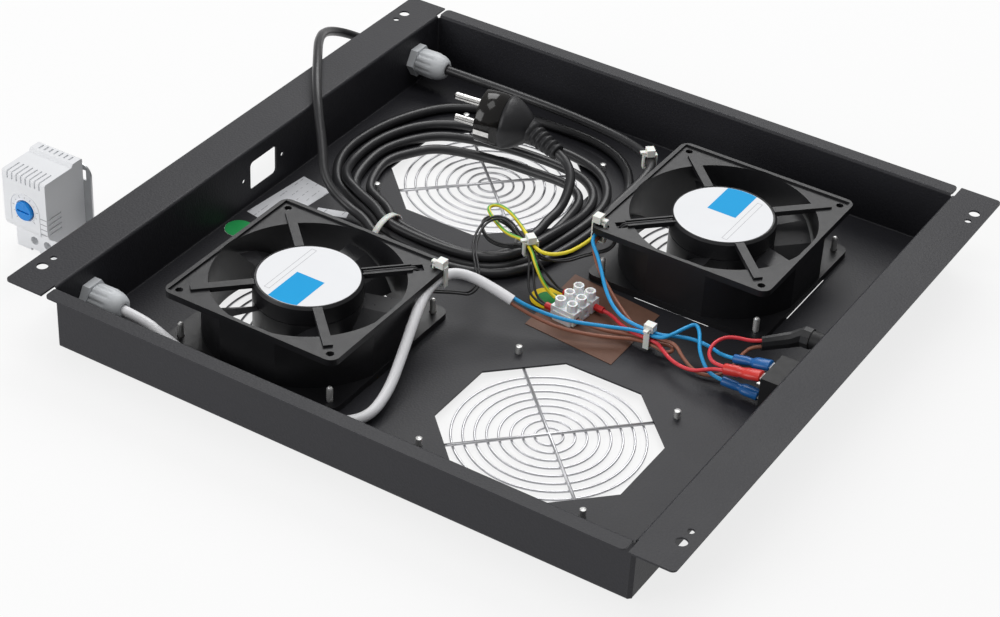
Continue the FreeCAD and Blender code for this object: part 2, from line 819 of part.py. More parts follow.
def gland(side, cord_diameter):
    """Body, dome nut, lock nut and seal of one gland, the dome inside the tray."""
    inner_face = gland_axis(side) + Vector(sheet, 0, 0)
    outer_face = gland_axis(side)
    bore = section_reach(cord_diameter) + cord_fit
    collet = gland_thread_radius - 0.9
    collet_length = 9.0
    body = along_x(
        turned(
            [
                (bore, -sheet - gland_lock_length - gland_tail),
                (gland_thread_radius, -sheet - gland_lock_length - gland_tail),
                (gland_thread_radius, 0.5),
                (collet, gland_hex_length - 0.5),
                (collet, gland_hex_length + collet_length),
                (bore, gland_hex_length + collet_length),
            ]
        ),
        inner_face,
    )
    hexagon = regular_prism(6, gland_hex_flats, inner_face, Vector(1, 0, 0), gland_hex_length)
    through = Part.makeCylinder(bore, gland_hex_length + 2, inner_face - Vector(1, 0, 0), Vector(1, 0, 0))
    body = fused(body, hexagon.cut(through))
    nut_start = inner_face + Vector(gland_hex_length + 0.2, 0, 0)
    flats = 2 * gland_nut_radius - 0.7
    dome = faceted(
        10,
        [
            (flats, 0),
            (flats, gland_nut_length * 0.6),
            (flats * 0.88, gland_nut_length * 0.82),
            (flats * 0.62, gland_nut_length),
        ],
        nut_start, Vector(1, 0, 0),
    )
    cavity = regular_prism(10, 2 * (collet + 0.15), nut_start - Vector(1, 0, 0), Vector(1, 0, 0),
                           gland_nut_length - 1.5)
    opening = regular_prism(8, 2 * bore, nut_start, Vector(1, 0, 0), gland_nut_length + 1)
    dome = dome.cut([cavity, opening])
    lock_start = outer_face - Vector(gland_lock_length, 0, 0)
    lock = regular_prism(6, gland_hex_flats, lock_start, Vector(1, 0, 0), gland_lock_length)
    hole = Part.makeCylinder(
        gland_thread_radius + cord_fit / 2, gland_lock_length + 2,
        lock_start - Vector(1, 0, 0), Vector(1, 0, 0)
    )
    lock = lock.cut(hole)
    seal_start = inner_face + Vector(gland_hex_length + collet_length + 0.05, 0, 0)
    seal_length = gland_nut_length - collet_length - 2.4
    seal = regular_prism(8, 2 * collet - 1.2, seal_start, Vector(1, 0, 0), seal_length)
    hole = regular_prism(8, 2 * bore, seal_start - Vector(1, 0, 0), Vector(1, 0, 0), seal_length + 2)
    seal = seal.cut(hole)
    return body, dome, lock, seal


lock_nuts = []
seals = []
for side, gland_name, diameter in (
    (-1, "front_gland_", thermostat_lead_diameter), (1, "back_gland_", mains_diameter)
):
    gland_body, dome_nut, lock_nut, seal = gland(side, diameter)
    keep(gland_name + "body", gland_body)
    keep(gland_name + "dome_nut", dome_nut)
    lock_nuts.append(lock_nut)
    seals.append(seal)
keep("gland_lock_nuts", group(lock_nuts))
keep("gland_seals", group(seals))
gland_end_x = -wall_x - gland_lock_length - gland_tail


# ---------------------------------------------------------------- leads held inside the tray
inner_mains_route = [
    at(gland_end_x, gland_y, gland_height),
    at(-wall_x + 43, gland_y, gland_height),
    at(-124, 174.5, 17.4),
    at(-80, 175.5, 16.2),
    at(-44, 172, 16.4),
    at(-19, 162.5, 20),
    at(1, 148, 26),
    at(16, 131.6, 30.6),
    at(18.4, 112, 30.2),
    at(18.4, 90, 29.6),
    at(18.8, 68, 30),
    at(26.9, 56.5, 31),
    at(26.9, 41.5, 31),
]
keep("inner_mains_lead", cord(inner_mains_route, mains_diameter, "inner mains lead"))

thermostat_lead_route = [
    at(gland_end_x, -gland_y, gland_height),
    at(-wall_x + 38, -gland_y, gland_height),
    at(-133, -171.2, 13.6),
    at(-104, -174, 6.5),
    at(-62, -176, 4.9),
    at(-22, -174, 4.9),
    at(-2, -160, 5.8),
    at(-3, -136, 9.5),
    at(-11.5, -108, 19),
    at(-18.8, -83, 30.6),
    at(-25.0, -63, 31.1),
    at(-25.0, -45, 31.1),
    at(-17, -37.6, 30.4),
    at(-3, -33.2, 26),
    at(13.6, -31.4, 20),
]
keep("thermostat_lead", cord(thermostat_lead_route, thermostat_lead_diameter, "thermostat lead"))


# ---------------------------------------------------------------- mains cord, coil and plug
coil_low = floor_top + 0.3
coil_height = 10.4
coil_top = coil_low + coil_height
coil_outer = [
    (-112, -6, 12), (-60, -9, 60), (-14, 2, 30), (8, 58, 60), (8, 142, 30), (-30, 176, 30),
    (-100, 178, 60), (-152, 162, 25), (-180, 102, 60), (-177, 48, 40), (-148, 21, 30),
    (-116, 9.4, 0), (-118, 2.0, 0),
]
coil_inner = [
    (-100, 16, 20), (-60, 9, 40), (-32, 18, 12), (-27, 40, 20), (-27, 70, 0), (-19.4, 70, 0),
    (-19.4, 100, 12), (-34, 114, 12), (-90, 112, 40), (-125, 102, 25), (-143, 78, 25),
    (-138, 48, 25), (-122, 26, 20),
]


def coil_outline(corners):
    points = [Vector(x, y, coil_low) for x, y, radius in corners]
    return rounded_wire(points, [radius for x, y, radius in corners])


tie_thickness = 1.3
coil_tie_width = 4.6
coil_tie_low = floor_top + 0.15
coil_tie_outer = block(-103, -9.8, coil_tie_low, -103 + coil_tie_width, 21.6, coil_top + 0.3 + tie_thickness)
coil_tie_inner = block(
    -104, -9.8 + tie_thickness, coil_tie_low + tie_thickness,
    -97, 21.6 - tie_thickness, coil_top + 0.3
)
coil_tie = coil_tie_outer.cut(coil_tie_inner)
coil_disc = Part.Face(coil_outline(coil_outer)).cut(Part.Face(coil_outline(coil_inner)))
coil = coil_disc.extrude(Vector(0, 0, coil_height))
coil = coil.cut(block(-103.3, -12, coil_low - 1, -98.1, 24, coil_tie_low + tie_thickness + 0.2))
screw_clear = [
    regular_prism(8, 6.4, Vector(place.x, place.y, coil_low - 1), up, 6.5)
    for place in screw_places(openings["back_left"])
]
coil = coil.cut(screw_clear)
keep("mains_cord_coil", coil)
keep("coil_tie", coil_tie)

plug_face = at(-103.3, 118.4, 32.2)
plug_forward = Vector(-0.975, -0.20, 0.08).normalize()
plug_length = 31.0
relief_length = 28.0
relief_back = Vector(0.955, -0.20, -0.215).normalize()
plug_tail = plug_face - plug_forward * plug_length
relief_end = plug_tail + relief_back * relief_length


def plug_body():
    """Moulded body: round face, flattened rear, and a stepped tapering strain relief."""
    face_disc = Part.makeCylinder(plug_face_radius, 12.0, Vector(0, 0, -12.0))
    sections = []
    for distance, across, tall in ((12.0, 17.6, 17.6), (24.0, 14.5, 12.5), (plug_length, 11.0, 8.0)):
        centre = Vector(0, 0, -distance)
        sections.append(oval_section(centre, Vector(0, 0, -1), across, tall, 16))
    barrel = Part.makeLoft(sections, True, True)
    flats = Part.makeBox(60, 32.5, 60, Vector(-30, -16.25, -50))
    body = fused(face_disc, barrel).common(flats)
    body.Placement = FreeCAD.Placement(plug_face, FreeCAD.Rotation(up, plug_forward))
    steps = [(14.8, -6), (14.8, 2)]
    for index in range(4):
        low = 5.0 + index * 5.4
        steps += [(13.2 - index, low), (11.6 - index, low + 0.6), (11.6 - index, low + 2.4),
                  (12.6 - index, low + 3.0)]
    relief = faceted(8, steps + [(9.0, relief_length)], plug_tail, relief_back)
    tail = regular_prism(
        cord_sides + 2, 2 * (section_reach(mains_diameter) + cord_fit), relief_end, relief_back * -1, 4.0
    )
    return fused(body, relief).cut(tail)


def plug_metal():
    """Two round pins and the two side earth contacts."""
    parts = []
    for side in (-1, 1):
        base = Vector(side * plug_pin_pitch / 2, 0, 0)
        parts.append(turned([(0, 0), (plug_pin_radius, 0), (plug_pin_radius, plug_pin_length - 1),
                             (plug_pin_radius - 1, plug_pin_length), (0, plug_pin_length)], base))
        clip = block(-2.0, 16.25, -11.0, 2.0, 17.15, -0.5)
        if side < 0:
            clip.rotate(Vector(0, 0, 0), up, 180)
        parts.append(clip)
    metal = group(parts)
    metal.Placement = FreeCAD.Placement(plug_face, FreeCAD.Rotation(up, plug_forward))
    return metal


keep("plug_body", plug_body())
keep("plug_pins", plug_metal())

coil_entry = at(-117, 5.7, 7.2)
coil_entry_way = Vector(-7.4, 2.0, 0).normalize()
mains_cord_route = [
    at(gland_end_x, gland_y, gland_height),
    at(-212, gland_y, gland_height),
    at(-228, 167, 23),
    at(-240, 156, 30),
    at(-240, 137, 39),
    at(-229, 114, 47),
    at(-212, 89, 50),
    at(-195, 64, 49),
    at(-180, 45, 42),
    at(-166, 30, 30),
    at(-152, 12, 18.5),
    coil_entry + coil_entry_way * 17,
    coil_entry + coil_entry_way * 0.02,
]
relief_point = relief_end - relief_back * 4.0
plug_end_route = [
    relief_point,
    relief_end + relief_back * 7,
    at(-30, 109.5, 18.2),
    at(-25.4, 99, 13.4),
    at(-23.2, 85.5, 7.2),
    at(-23.2, 70.02, 7.2),
]
keep(
    "mains_cord",
    group(
        [
            cord(mains_cord_route, mains_diameter, "mains cord"),
            cord(plug_end_route, mains_diameter, "mains cord at the plug"),
        ]
    ),
)


# ---------------------------------------------------------------- thermostat beside the tray
def thermostat_housing():
    """Moulded housing: dial face, set-back terminals, vents, and the clip section behind."""
    half = thermostat_width / 2
    top = thermostat_height
    depth = thermostat_body_depth
    step = thermostat_step
    knee = thermostat_step_height
    profile = [
        Vector(0, 0, top - 1),
        Vector(0, 0, knee + 3),
        Vector(0, step, knee - 4),
        Vector(0, step, 1.0),
        Vector(0, step + 1.0, 0),
        Vector(0, depth + thermostat_back_depth, 0),
        Vector(0, depth + thermostat_back_depth, top + 2.0),
        Vector(0, depth + 1.5, top + 2.0),
        Vector(0, depth, top),
        Vector(0, 1, top),
    ]
    radii = [0, 8.0, 2.0, 0, 0, 0, 1.5, 0, 0, 0]
    face = Part.Face(rounded_wire(profile, radii))
    body = face.extrude(Vector(thermostat_width, 0, 0))
    body.translate(Vector(-half, 0, 0))
    cutters = []
    for index in range(8):
        x = -half + 4.2 + index * 3.5
        cutters.append(block(x - 0.5, -0.5, top - 5.0, x + 0.5, 11.5, top + 0.5).cut(
            block(x - 1, 0.9, top - 6.0, x + 1, 12, top - 0.9)))
    for index in range(4):
        z = 24.0 + index * 3.6
        cutters.append(block(half - 0.7, 2.0, z - 0.6, half + 1, 13.0, z + 0.6))
    for index in range(7):
        x = -half + 5.2 + index * 3.8
        cutters.append(block(x - 0.6, depth + 3.5, top + 1.0, x + 0.6, depth + 8.0, top + 3))
    for index in range(5):
        x = -4.0 + index * 3.3
        cutters.append(block(x - 0.45, -1, knee - 4.6, x + 0.45, step + 0.9, knee - 0.6))
    for x in (-2.5, 7.5):
        cutters.append(Part.makeCylinder(2.9, 8.0, Vector(x, step - 1, 8.6), Vector(0, 1, 0)))
    cutters.append(block(-6.0, step - 1, -1, 1.0, step + 8, 2.2))
    cutters.append(Part.makeCylinder(knob_radius + 0.9, 0.8, Vector(0, 0, knob_height), Vector(0, 1, 0)))
    cutters.append(Part.makeCylinder(1.6, 5.0, Vector(0, 0, knob_height), Vector(0, 1, 0)))
    entry = Vector(half - 5, depth + 3.0, 6.0)
    cutters.append(
        Part.makeCylinder(section_reach(thermostat_lead_diameter) + cord_fit, 8, entry, Vector(1, 0, 0))
    )
    body = body.cut(cutters)
    body.translate(Vector(thermostat_x, thermostat_front, ground))
    return body


def thermostat_knob():
    """The slotted dial knob and the spindle that turns in the housing."""
    knob = turned([(0, 0), (knob_radius, 0), (knob_radius, knob_depth - 0.5),
                   (knob_radius - 0.5, knob_depth), (0, knob_depth)])
    spindle = Part.makeCylinder(1.55, 3.8, Vector(0, 0, -3.8))
    slot = block(-4.5, -0.6, knob_depth - 1.0, 4.5, 0.6, knob_depth + 1)
    knob = fused(knob, spindle).cut(slot)
    place = Vector(thermostat_x, thermostat_front + 0.5, ground + knob_height)
    return along_x(knob, place, Vector(0, -1, 0))


def thermostat_bracket():
    """Zinc-plated mounting plate behind the clip, with rounded corners and four slots."""
    half = bracket_width / 2
    back = thermostat_front + thermostat_body_depth + thermostat_back_depth
    corners = [
        Vector(thermostat_x - half, back, ground),
        Vector(thermostat_x + half, back, ground),
        Vector(thermostat_x + half, back, ground + bracket_height),
        Vector(thermostat_x - half, back, ground + bracket_height),
    ]
    plate = Part.Face(rounded_wire(corners, [1, 1, 8, 8])).extrude(Vector(0, bracket_sheet, 0))
    slots = []
    for side in (-1, 1):
        for z in (7.0, 47.0):
            x = thermostat_x + side * (half - 5.8)
            slots.append(block(x - 2.2, back - 1, ground + z, x + 2.2, back + 3, ground + z + 7))
    return plate.cut(slots)


def thermostat_terminals():
    """The two clamp screws at the bottom of their wells."""
    screws = []
    for x in (-2.5, 7.5):
        start = Vector(thermostat_x + x, thermostat_front + thermostat_step + 4.4, ground + 8.6)
        screws.append(regular_prism(8, 5.2, start, Vector(0, 1, 0), 2.6))
    return group(screws)


keep("thermostat_housing", thermostat_housing())
keep("thermostat_knob", thermostat_knob())
keep("thermostat_bracket", thermostat_bracket())
keep("thermostat_terminals", thermostat_terminals())

entry_y = thermostat_front + thermostat_body_depth + 3.0
entry_x = thermostat_x + thermostat_width / 2 - 5.0
entry_z = ground - underside + 6.0
thermostat_cord_route = [
    at(gland_end_x, -gland_y, gland_height),
    at(-202.8, -gland_y, gland_height),
    at(-209, -167.9, 19.2),
    at(-214.3, -163.9, 17.2),
    at(-218, -158.4, 14.4),
    at(-220.6, -149.2, 10.6),
    at(-223, -140, 7.4),
    at(-225.2, -131.4, 4.8),
    at(-227.7, -122.2, 3.0),
    at(-231.3, entry_y - 6.2, 2.0),
    at(-236.5, entry_y - 2.1, 1.6),
    at(-242.8, entry_y, 1.6),
    at(entry_x, entry_y, entry_z),
]
keep(
    "thermostat_cord",
    cord(thermostat_cord_route, thermostat_lead_diameter, "thermostat cord"),
)


# ---------------------------------------------------------------- terminal block on its insulating sheet
block_centre = at(37.5, 1.5, sheet + sheet_insulator_thickness)
block_turn = FreeCAD.Placement(block_centre, FreeCAD.Rotation(up, block_angle))


def on_block(x, y, z):
    """A place in the tray from one in the block's own axes: poles along y, wires along x."""
    return block_turn.multVec(Vector(x, y, z))


def pole_y(index):
    return (index - 1) * block_pole_pitch


def terminal_block():
    """Three joined poles, each with a wire tunnel and two screw towers."""
    half = block_depth / 2
    parts = [block(-half + 2, -block_width / 2, 0, half - 2, block_width / 2, block_height - 2.5)]
    for index in range(3):
        y = pole_y(index)
        parts.append(block(-half, y - 3.6, 0.6, half, y + 3.6, block_height))
        for x in (-tower_offset, tower_offset):
            base = Vector(x, y, block_height - 1)
            parts.append(regular_prism(8, 2 * tower_radius, base, up, tower_height + 1))
    body = fused(*parts)
    cutters = []
    for index in range(3):
        y = pole_y(index)
        cutters.append(
            regular_prism(6, 2 * tunnel_radius, Vector(-half - 1, y, tunnel_height), Vector(1, 0, 0),
                          block_depth + 2)
        )
        for x in (-tower_offset, tower_offset):
            cutters.append(regular_prism(6, 4.2, Vector(x, y, tunnel_height), up, 20))
    body = body.cut(cutters)
    body.Placement = block_turn
    return body


def terminal_screws():
    """The six clamp screws down the towers and the three brass tubes under them."""
    parts = []
    for index in range(3):
        y = pole_y(index)
        start = Vector(-half_tube, y, tunnel_height)
        tube = regular_prism(6, 2 * tunnel_radius - 0.1, start, Vector(1, 0, 0), 2 * half_tube)
        bore = regular_prism(6, 2 * tunnel_radius - 1.2, start - Vector(1, 0, 0), Vector(1, 0, 0), 20)
        parts.append(tube.cut(bore))
        for x in (-tower_offset, tower_offset):
            base = Vector(x, y, tunnel_height + tunnel_radius)
            parts.append(regular_prism(6, 4.0, base, up, 5.0))
    screws = group(parts)
    screws.Placement = block_turn
    return screws


def ferrule(x, y, side):
    """A plastic collar pushed half into the tunnel, seated on the block's face."""
    start = Vector(x, y, tunnel_height)
    sleeve = regular_prism(8, 2 * ferrule_radius, start, Vector(side, 0, 0), ferrule_length)
    sleeve.Placement = block_turn.multiply(sleeve.Placement)
    return sleeve


half_tube = block_depth / 2 - 1.5
face_x = block_depth / 2
keep("terminal_block", terminal_block())
keep("terminal_screws", terminal_screws())
keep(
    "ferrules",
    group([ferrule(-face_x, pole_y(0), -1), ferrule(-face_x, pole_y(2), -1), ferrule(face_x, pole_y(2), 1)]),
)


def floor_sheet(corners, low, thickness):
    face = closed_face([at(x, y, low) for x, y in corners])
    return face.extrude(Vector(0, 0, thickness))


sheet_back = rear_fan.y - fan_size / 2 - 0.25
sheet_corners = [(17, sheet_back), (80, sheet_back - 7.6), (80.8, -29.7), (19, -24.3)]
keep("insulating_sheet", floor_sheet(sheet_corners, sheet, sheet_insulator_thickness))
plate_left = -wall_x + 4.8
plate_corners = [(plate_left, -23.9), (plate_left + 4.9, 29.9), (plate_left + 29, 25.7),
                 (plate_left + 24.1, -28.1)]
small_left = -wall_x + 38
small_label_corners = [(small_left, 5.8), (small_left + 18.8, 12.6), (small_left + 21, 6.4),
                       (small_left + 2.2, -0.4)]
floor_films = [
    floor_sheet(plate_corners, sheet, sticker_thickness),
    floor_sheet(small_label_corners, sheet, sticker_thickness),
    regular_prism(16, 2 * round_label_radius, at(-wall_x + 12.3, -42.1, sheet), up, sticker_thickness),
]
keep("floor_labels", group(floor_films))
earth_sticker = regular_prism(16, 2 * earth_sticker_radius, at(5.2, 3.6, sheet), up, sticker_thickness)
keep("earth_sticker", earth_sticker)


# ---------------------------------------------------------------- rocker switch in the right wall
switch_centre = at(wall_x, switch_y, switch_z)
rocker_pivot = switch_centre + Vector(rocker_axis_out, 0, 0)


def switch_body():
    """Housing through the wall, its bezel outside, with the well that the rocker swings in."""
    back = inner_x - switch_depth
    half_y = switch_width / 2
    half_z = switch_height / 2
    z = switch_centre.z
    housing = block(back, switch_y - half_y, z - half_z, wall_x, switch_y + half_y, z + half_z)
    bezel = rounded_plate(
        switch_height + 2 * switch_bezel, switch_width + 2 * switch_bezel, 1.5, 0, switch_bezel_depth,
        (0, 0),
    )
    bezel = along_x(bezel, switch_centre, Vector(1, 0, 0))
    well = block(rocker_pivot.x - 5.4, switch_y - rocker_half - 0.9, z - rocker_half_z - 0.4,
                 wall_x + 5, switch_y + rocker_half + 0.9, z + rocker_half_z + 0.4)
    pivots = Part.makeCylinder(
        1.5 + 0.05, 2 * rocker_half_z + 3.2, rocker_pivot - Vector(0, 0, rocker_half_z + 1.6), up
    )
    return fused(housing, bezel).cut([well, pivots])


def switch_rocker():
    """The rocker on its two pivot pins, pressed at its front end."""
    profile = [(3.0, 0), (4.6, rocker_half), (0.6, rocker_half + 0.3), (-3.0, 6.0), (-3.0, -6.0),
               (0.6, -rocker_half - 0.3), (4.6, -rocker_half)]
    face = closed_face([Vector(x, y, -rocker_half_z) for x, y in profile])
    rocker = face.extrude(Vector(0, 0, 2 * rocker_half_z))
    pins = Part.makeCylinder(1.5, 2 * rocker_half_z + 3.0, Vector(0, 0, -rocker_half_z - 1.5))
    rocker = fused(rocker, pins)
    rocker.rotate(Vector(0, 0, 0), up, rocker_swing)
    rocker.translate(rocker_pivot)
    return rocker


terminal_back = inner_x - switch_depth
terminal_rows = {
    "live_out": (0, 1),
    "neutral_in": (1, 1),
    "neutral_out": (0, -1),
    "spare": (1, -1),
}


def terminal_frame(column, row):
    """Where a blade leaves the switch and which way its push-on connector points."""
    y = switch_y + (column - 0.5) * terminal_pitch_y
    height = switch_z + row * terminal_pitch_z / 2
    tilt = math.radians(terminal_tilt if row > 0 else 0.0)
    return at(terminal_back, y, height), Vector(-math.cos(tilt), 0, -math.sin(tilt))


def along_terminal(shape, column, row):
    base, direction = terminal_frame(column, row)
    side = Vector(0, 1, 0)
    shape.Placement = FreeCAD.Placement(base, FreeCAD.Rotation(direction, side, up, "XYZ"))
    return shape


def blade_terminal(column, row):
    half = blade_terminal_width / 2
    thick = blade_terminal_thickness / 2
    return along_terminal(
        block(-1.0, -half, -thick, blade_terminal_length, half, thick), column, row
    )


def push_on_connector(column, row, barrel_radius, bores):
    """Flat sleeve over the blade that narrows to a round barrel, bored for its wires."""
    flat = block(sleeve_start, -4.3, -2.4, sleeve_start + 9.5, 4.3, 2.4)
    barrel_start = sleeve_start + 8.0
    barrel = regular_prism(
        10, 2 * barrel_radius, Vector(barrel_start, 0, 0), Vector(1, 0, 0),
        connector_length - barrel_start
    )
    half = blade_terminal_width / 2 + 0.1
    thick = blade_terminal_thickness / 2 + 0.1
    body = fused(flat, barrel)
    cutters = [block(0, -half, -thick, blade_terminal_length + 0.3, half, thick)]
    for y in bores:
        start = Vector(connector_length - bore_depth, y, 0)
        cutters.append(regular_prism(8, 2 * wire_bore, start, Vector(1, 0, 0), bore_depth + 1))
    return along_terminal(body.cut(cutters), column, row)


def connector_exit(column, row, offset, out):
    """A point on a bore's axis, out past the connector's open end."""
    base, direction = terminal_frame(column, row)
    return base + direction * (connector_length + out) + Vector(0, offset, 0)


keep("switch_body", switch_body())
keep("switch_rocker", switch_rocker())
terminal_blades = [blade_terminal(column, row) for column, row in terminal_rows.values()]
keep("switch_terminals", group(terminal_blades).cut(solids["switch_body"]))
single = [0.0]
double = [-red_bore_offset, red_bore_offset]
keep(
    "blue_connectors",
    group(
        [
            push_on_connector(1, 1, 3.2, single),
            push_on_connector(0, -1, 3.2, single),
        ]
    ),
)
keep("red_connector", push_on_connector(0, 1, 3.5, double))


# ---------------------------------------------------------------- fuse holder and its heat-shrink sleeve
fuse_centre = at(wall_x, fuse_y, fuse_height)


def fuse_profile(points):
    return along_x(turned(points), fuse_centre)


fuse_rear = sheet + fuse_depth
fuse_holder_shape = fuse_profile(
    [
        (0, -fuse_rear), (fuse_radius, -fuse_rear), (fuse_radius, 0), (fuse_flange_radius, 0),
        (fuse_flange_radius, 1.6), (fuse_cap_skirt + 0.05, 1.6), (fuse_cap_skirt + 0.05, -9.0),
        (fuse_link_radius + 0.4, -9.0), (fuse_link_radius + 0.4, -fuse_rear + 1.2),
        (0, -fuse_rear + 1.2),
    ]
)
holder_nut = regular_prism(6, 15.0, at(inner_x - 3.0, fuse_y, fuse_height), Vector(1, 0, 0), 3.0)
holder_nut = holder_nut.cut(
    Part.makeCylinder(fuse_radius - 0.5, 5, at(inner_x - 4.0, fuse_y, fuse_height), Vector(1, 0, 0))
)
keep("fuse_holder", fused(fuse_holder_shape, holder_nut))
cap_low = 1.65
cap_shape = fuse_profile(
    [
        (fuse_link_radius + 0.05, -6.0), (fuse_cap_skirt, -6.0), (fuse_cap_skirt, cap_low),
        (fuse_cap_radius, cap_low), (fuse_cap_radius, fuse_cap_depth - 0.8),
        (fuse_cap_radius - 0.8, fuse_cap_depth), (0, fuse_cap_depth), (0, 2.6),
        (fuse_link_radius + 0.05, 2.6),
    ]
)
coin_slot = block(fuse_cap_depth - 1.2, -4.0, -0.7, fuse_cap_depth + 1, 4.0, 0.7)
coin_slot.translate(fuse_centre)
keep("fuse_cap", cap_shape.cut(coin_slot))
link_start = -fuse_rear + 1.25
link_shape = fuse_profile([(0, link_start), (fuse_link_radius, link_start), (fuse_link_radius, 2.55),
                           (0, 2.55)])
keep("fuse_link", link_shape)

sleeve_front = at(151, 20.5, 16.6)
sleeve_rear = at(wall_x - fuse_rear + 3.6, fuse_y, fuse_height)
sleeve_way = Vector(0.80, 0.60, 0.03).normalize()


def heat_shrink_sleeve():
    """Shrunk tube from the two wires to the rear of the fuse holder."""
    ahead = Vector(1, 0, 0)
    middle = (sleeve_front + sleeve_rear) * 0.5 + Vector(1.0, 2.6, 0.2)
    sections = [
        oval_section(sleeve_front, sleeve_way, 3.0, 4.6),
        oval_section(middle, (sleeve_way + ahead).normalize(), 4.6, 5.2),
        oval_section(sleeve_rear - ahead * 5.0, ahead, 6.5, 6.5),
        oval_section(sleeve_rear, ahead, 6.5, 6.5),
    ]
    tube = Part.makeLoft(sections, True, True)
    socket = Part.makeCylinder(fuse_radius + 0.1, 20, sleeve_rear - ahead * 3.6, ahead)
    return tube.cut(socket)


keep("heat_shrink_sleeve", heat_shrink_sleeve())


# ---------------------------------------------------------------- wires and their ties
bundle_centre = at(91, -4, 10.0)
loop_centre = at(-4, 17, 24)
loop_way = Vector(0.78, -0.62, 0).normalize()
loop_side = Vector(0.62, 0.78, 0).normalize()
pitch = wire_diameter + 0.75


def through_bundle(along, column, row):
    """A place in the bundle at the switch side: two columns across, three rows high."""
    return bundle_centre + Vector(along, (column - 0.5) * pitch, (row - 1) * pitch)


def through_loop(along, side, lift):
    return loop_centre + loop_way * along + loop_side * side + Vector(0, 0, lift)


def stepped(point, direction, distance):
    return point + direction * distance


jacket_end = thermostat_lead_route[-1]
jacket_way = (thermostat_lead_route[-1] - thermostat_lead_route[-2]).normalize()
jacket_lift = Vector(0, 0, 1.45)
mains_end = inner_mains_route[-1]
mains_way = (inner_mains_route[-1] - inner_mains_route[-2]).normalize()
core_place = 1.75


def core_start(end, way, angle, out=0.0):
    """Where a core leaves its jacket's end face, by its angle round the jacket's axis."""
    side = up.cross(way).normalize()
    lift = way.cross(side)
    turn = math.radians(angle)
    return end + way * out + side * (core_place * math.cos(turn)) + lift * (core_place * math.sin(turn))


def wire(points, name, diameter=wire_diameter, sides=4):
    return cord(points, diameter, name, sides)


# blue: from the thermostat lead over the top to the lower connector, and from the mains lead
blue_a = [
    core_start(jacket_end, jacket_way, 70),
    core_start(jacket_end, jacket_way, 70, 5),
    at(29, -26, 15.5),
    at(46, -21.5, 13),
    at(68, -12.5, 13),
    through_bundle(-7, 0, 2),
    through_bundle(6, 0, 2),
    at(103, -4.5, 15.8),
    at(108.5, 5, 18.6),
    at(112, 13.5, 18.8),
    at(117.5, 8, 17),
    at(123, -3, 14.6),
    at(130, -9.5, 10.8),
    connector_exit(0, -1, 0, 7),
    connector_exit(0, -1, 0, 0.2 - bore_depth),
]
blue_b = [
    core_start(mains_end, mains_way, 90),
    core_start(mains_end, mains_way, 90, 4),
    at(29.5, 33, 30.8),
    at(38, 26.5, 27),
    at(54, 9, 17.5),
    at(70, -2, 14.5),
    through_bundle(-7, 1, 2),
    through_bundle(6, 1, 2),
    at(104, 1.8, 13.2),
    at(115, 7.5, 12),
    at(127, 6, 12),
    connector_exit(1, 1, 0, 7),
    connector_exit(1, 1, 0, 0.2 - bore_depth),
]
keep("blue_wires", group([wire(blue_a, "blue wire"), wire(blue_b, "second blue wire")]))

sleeve_side = up.cross(sleeve_way).normalize()
sleeve_lift = sleeve_way.cross(sleeve_side)


def sleeve_entry(lift, out):
    return sleeve_front + sleeve_lift * lift - sleeve_way * out


# brown: back to the block's front pole by a small loop, and from the mains lead to the fuse
brown_a = [
    core_start(jacket_end, jacket_way, 250),
    core_start(jacket_end, jacket_way, 250, 5),
    at(29, -28, 11.5),
    at(46, -24, 8),
    at(68, -14.5, 6.6),
    through_bundle(-7, 0, 0),
    through_bundle(6, 0, 0),
    at(103.5, -8.2, 6.9),
    at(107.5, -4, 7.0),
    at(103.5, 0.2, 6.9),
    through_bundle(6, 1, 0),
    through_bundle(-7, 1, 0),
    at(74, -3.2, 5.2),
    at(62, -7.8, 5.2),
    on_block(face_x + 5, pole_y(0), tunnel_height),
    on_block(half_tube, pole_y(0), tunnel_height),
]
brown_b = [
    core_start(mains_end, mains_way, 330),
    core_start(mains_end, mains_way, 330, 4),
    at(30.5, 32.4, 27.4),
    at(40, 23.5, 21.5),
    at(60, 10.5, 14.4),
    at(76, 1, 11.2),
    through_bundle(-7, 1, 1),
    through_bundle(6, 1, 1),
    at(107, -1.2, 10.8),
    at(115.5, -6.8, 6.4),
    at(126, -10.2, 3.4),
    at(137, -7.6, 3.8),
    at(142.6, 0, 7),
    at(144.2, 9, 12),
    sleeve_entry(-2.1, 6),
    sleeve_entry(-2.1, 0),
]
keep("brown_wires", group([wire(brown_a, "brown wire"), wire(brown_b, "second brown wire")]))

# red: block to the switch, and switch to the fuse
red_a = [
    on_block(face_x + ferrule_length, pole_y(2), tunnel_height),
    on_block(face_x + ferrule_length + 6, pole_y(2), tunnel_height),
    at(67, 2.5, 6.6),
    at(78, -3.8, 8.9),
    through_bundle(-7, 0, 1),
    through_bundle(6, 0, 1),
    at(102, -9, 9.6),
    at(113, -16, 9),
    at(127, -19, 10.4),
    at(135, -16, 13.2),
    connector_exit(0, 1, -red_bore_offset, 4.5),
    connector_exit(0, 1, -red_bore_offset, 0.2 - bore_depth),
]
red_b = [
    connector_exit(0, 1, red_bore_offset, 0.2 - bore_depth),
    connector_exit(0, 1, red_bore_offset, 6),
    at(131.5, -8.8, 17),
    at(129.5, 0, 19.4),
    at(132.5, 9.5, 20),
    at(139, 14.6, 19.2),
    sleeve_entry(2.1, 6),
    sleeve_entry(2.1, 0),
]
keep("red_wires", group([wire(red_a, "red wire"), wire(red_b, "second red wire")]))

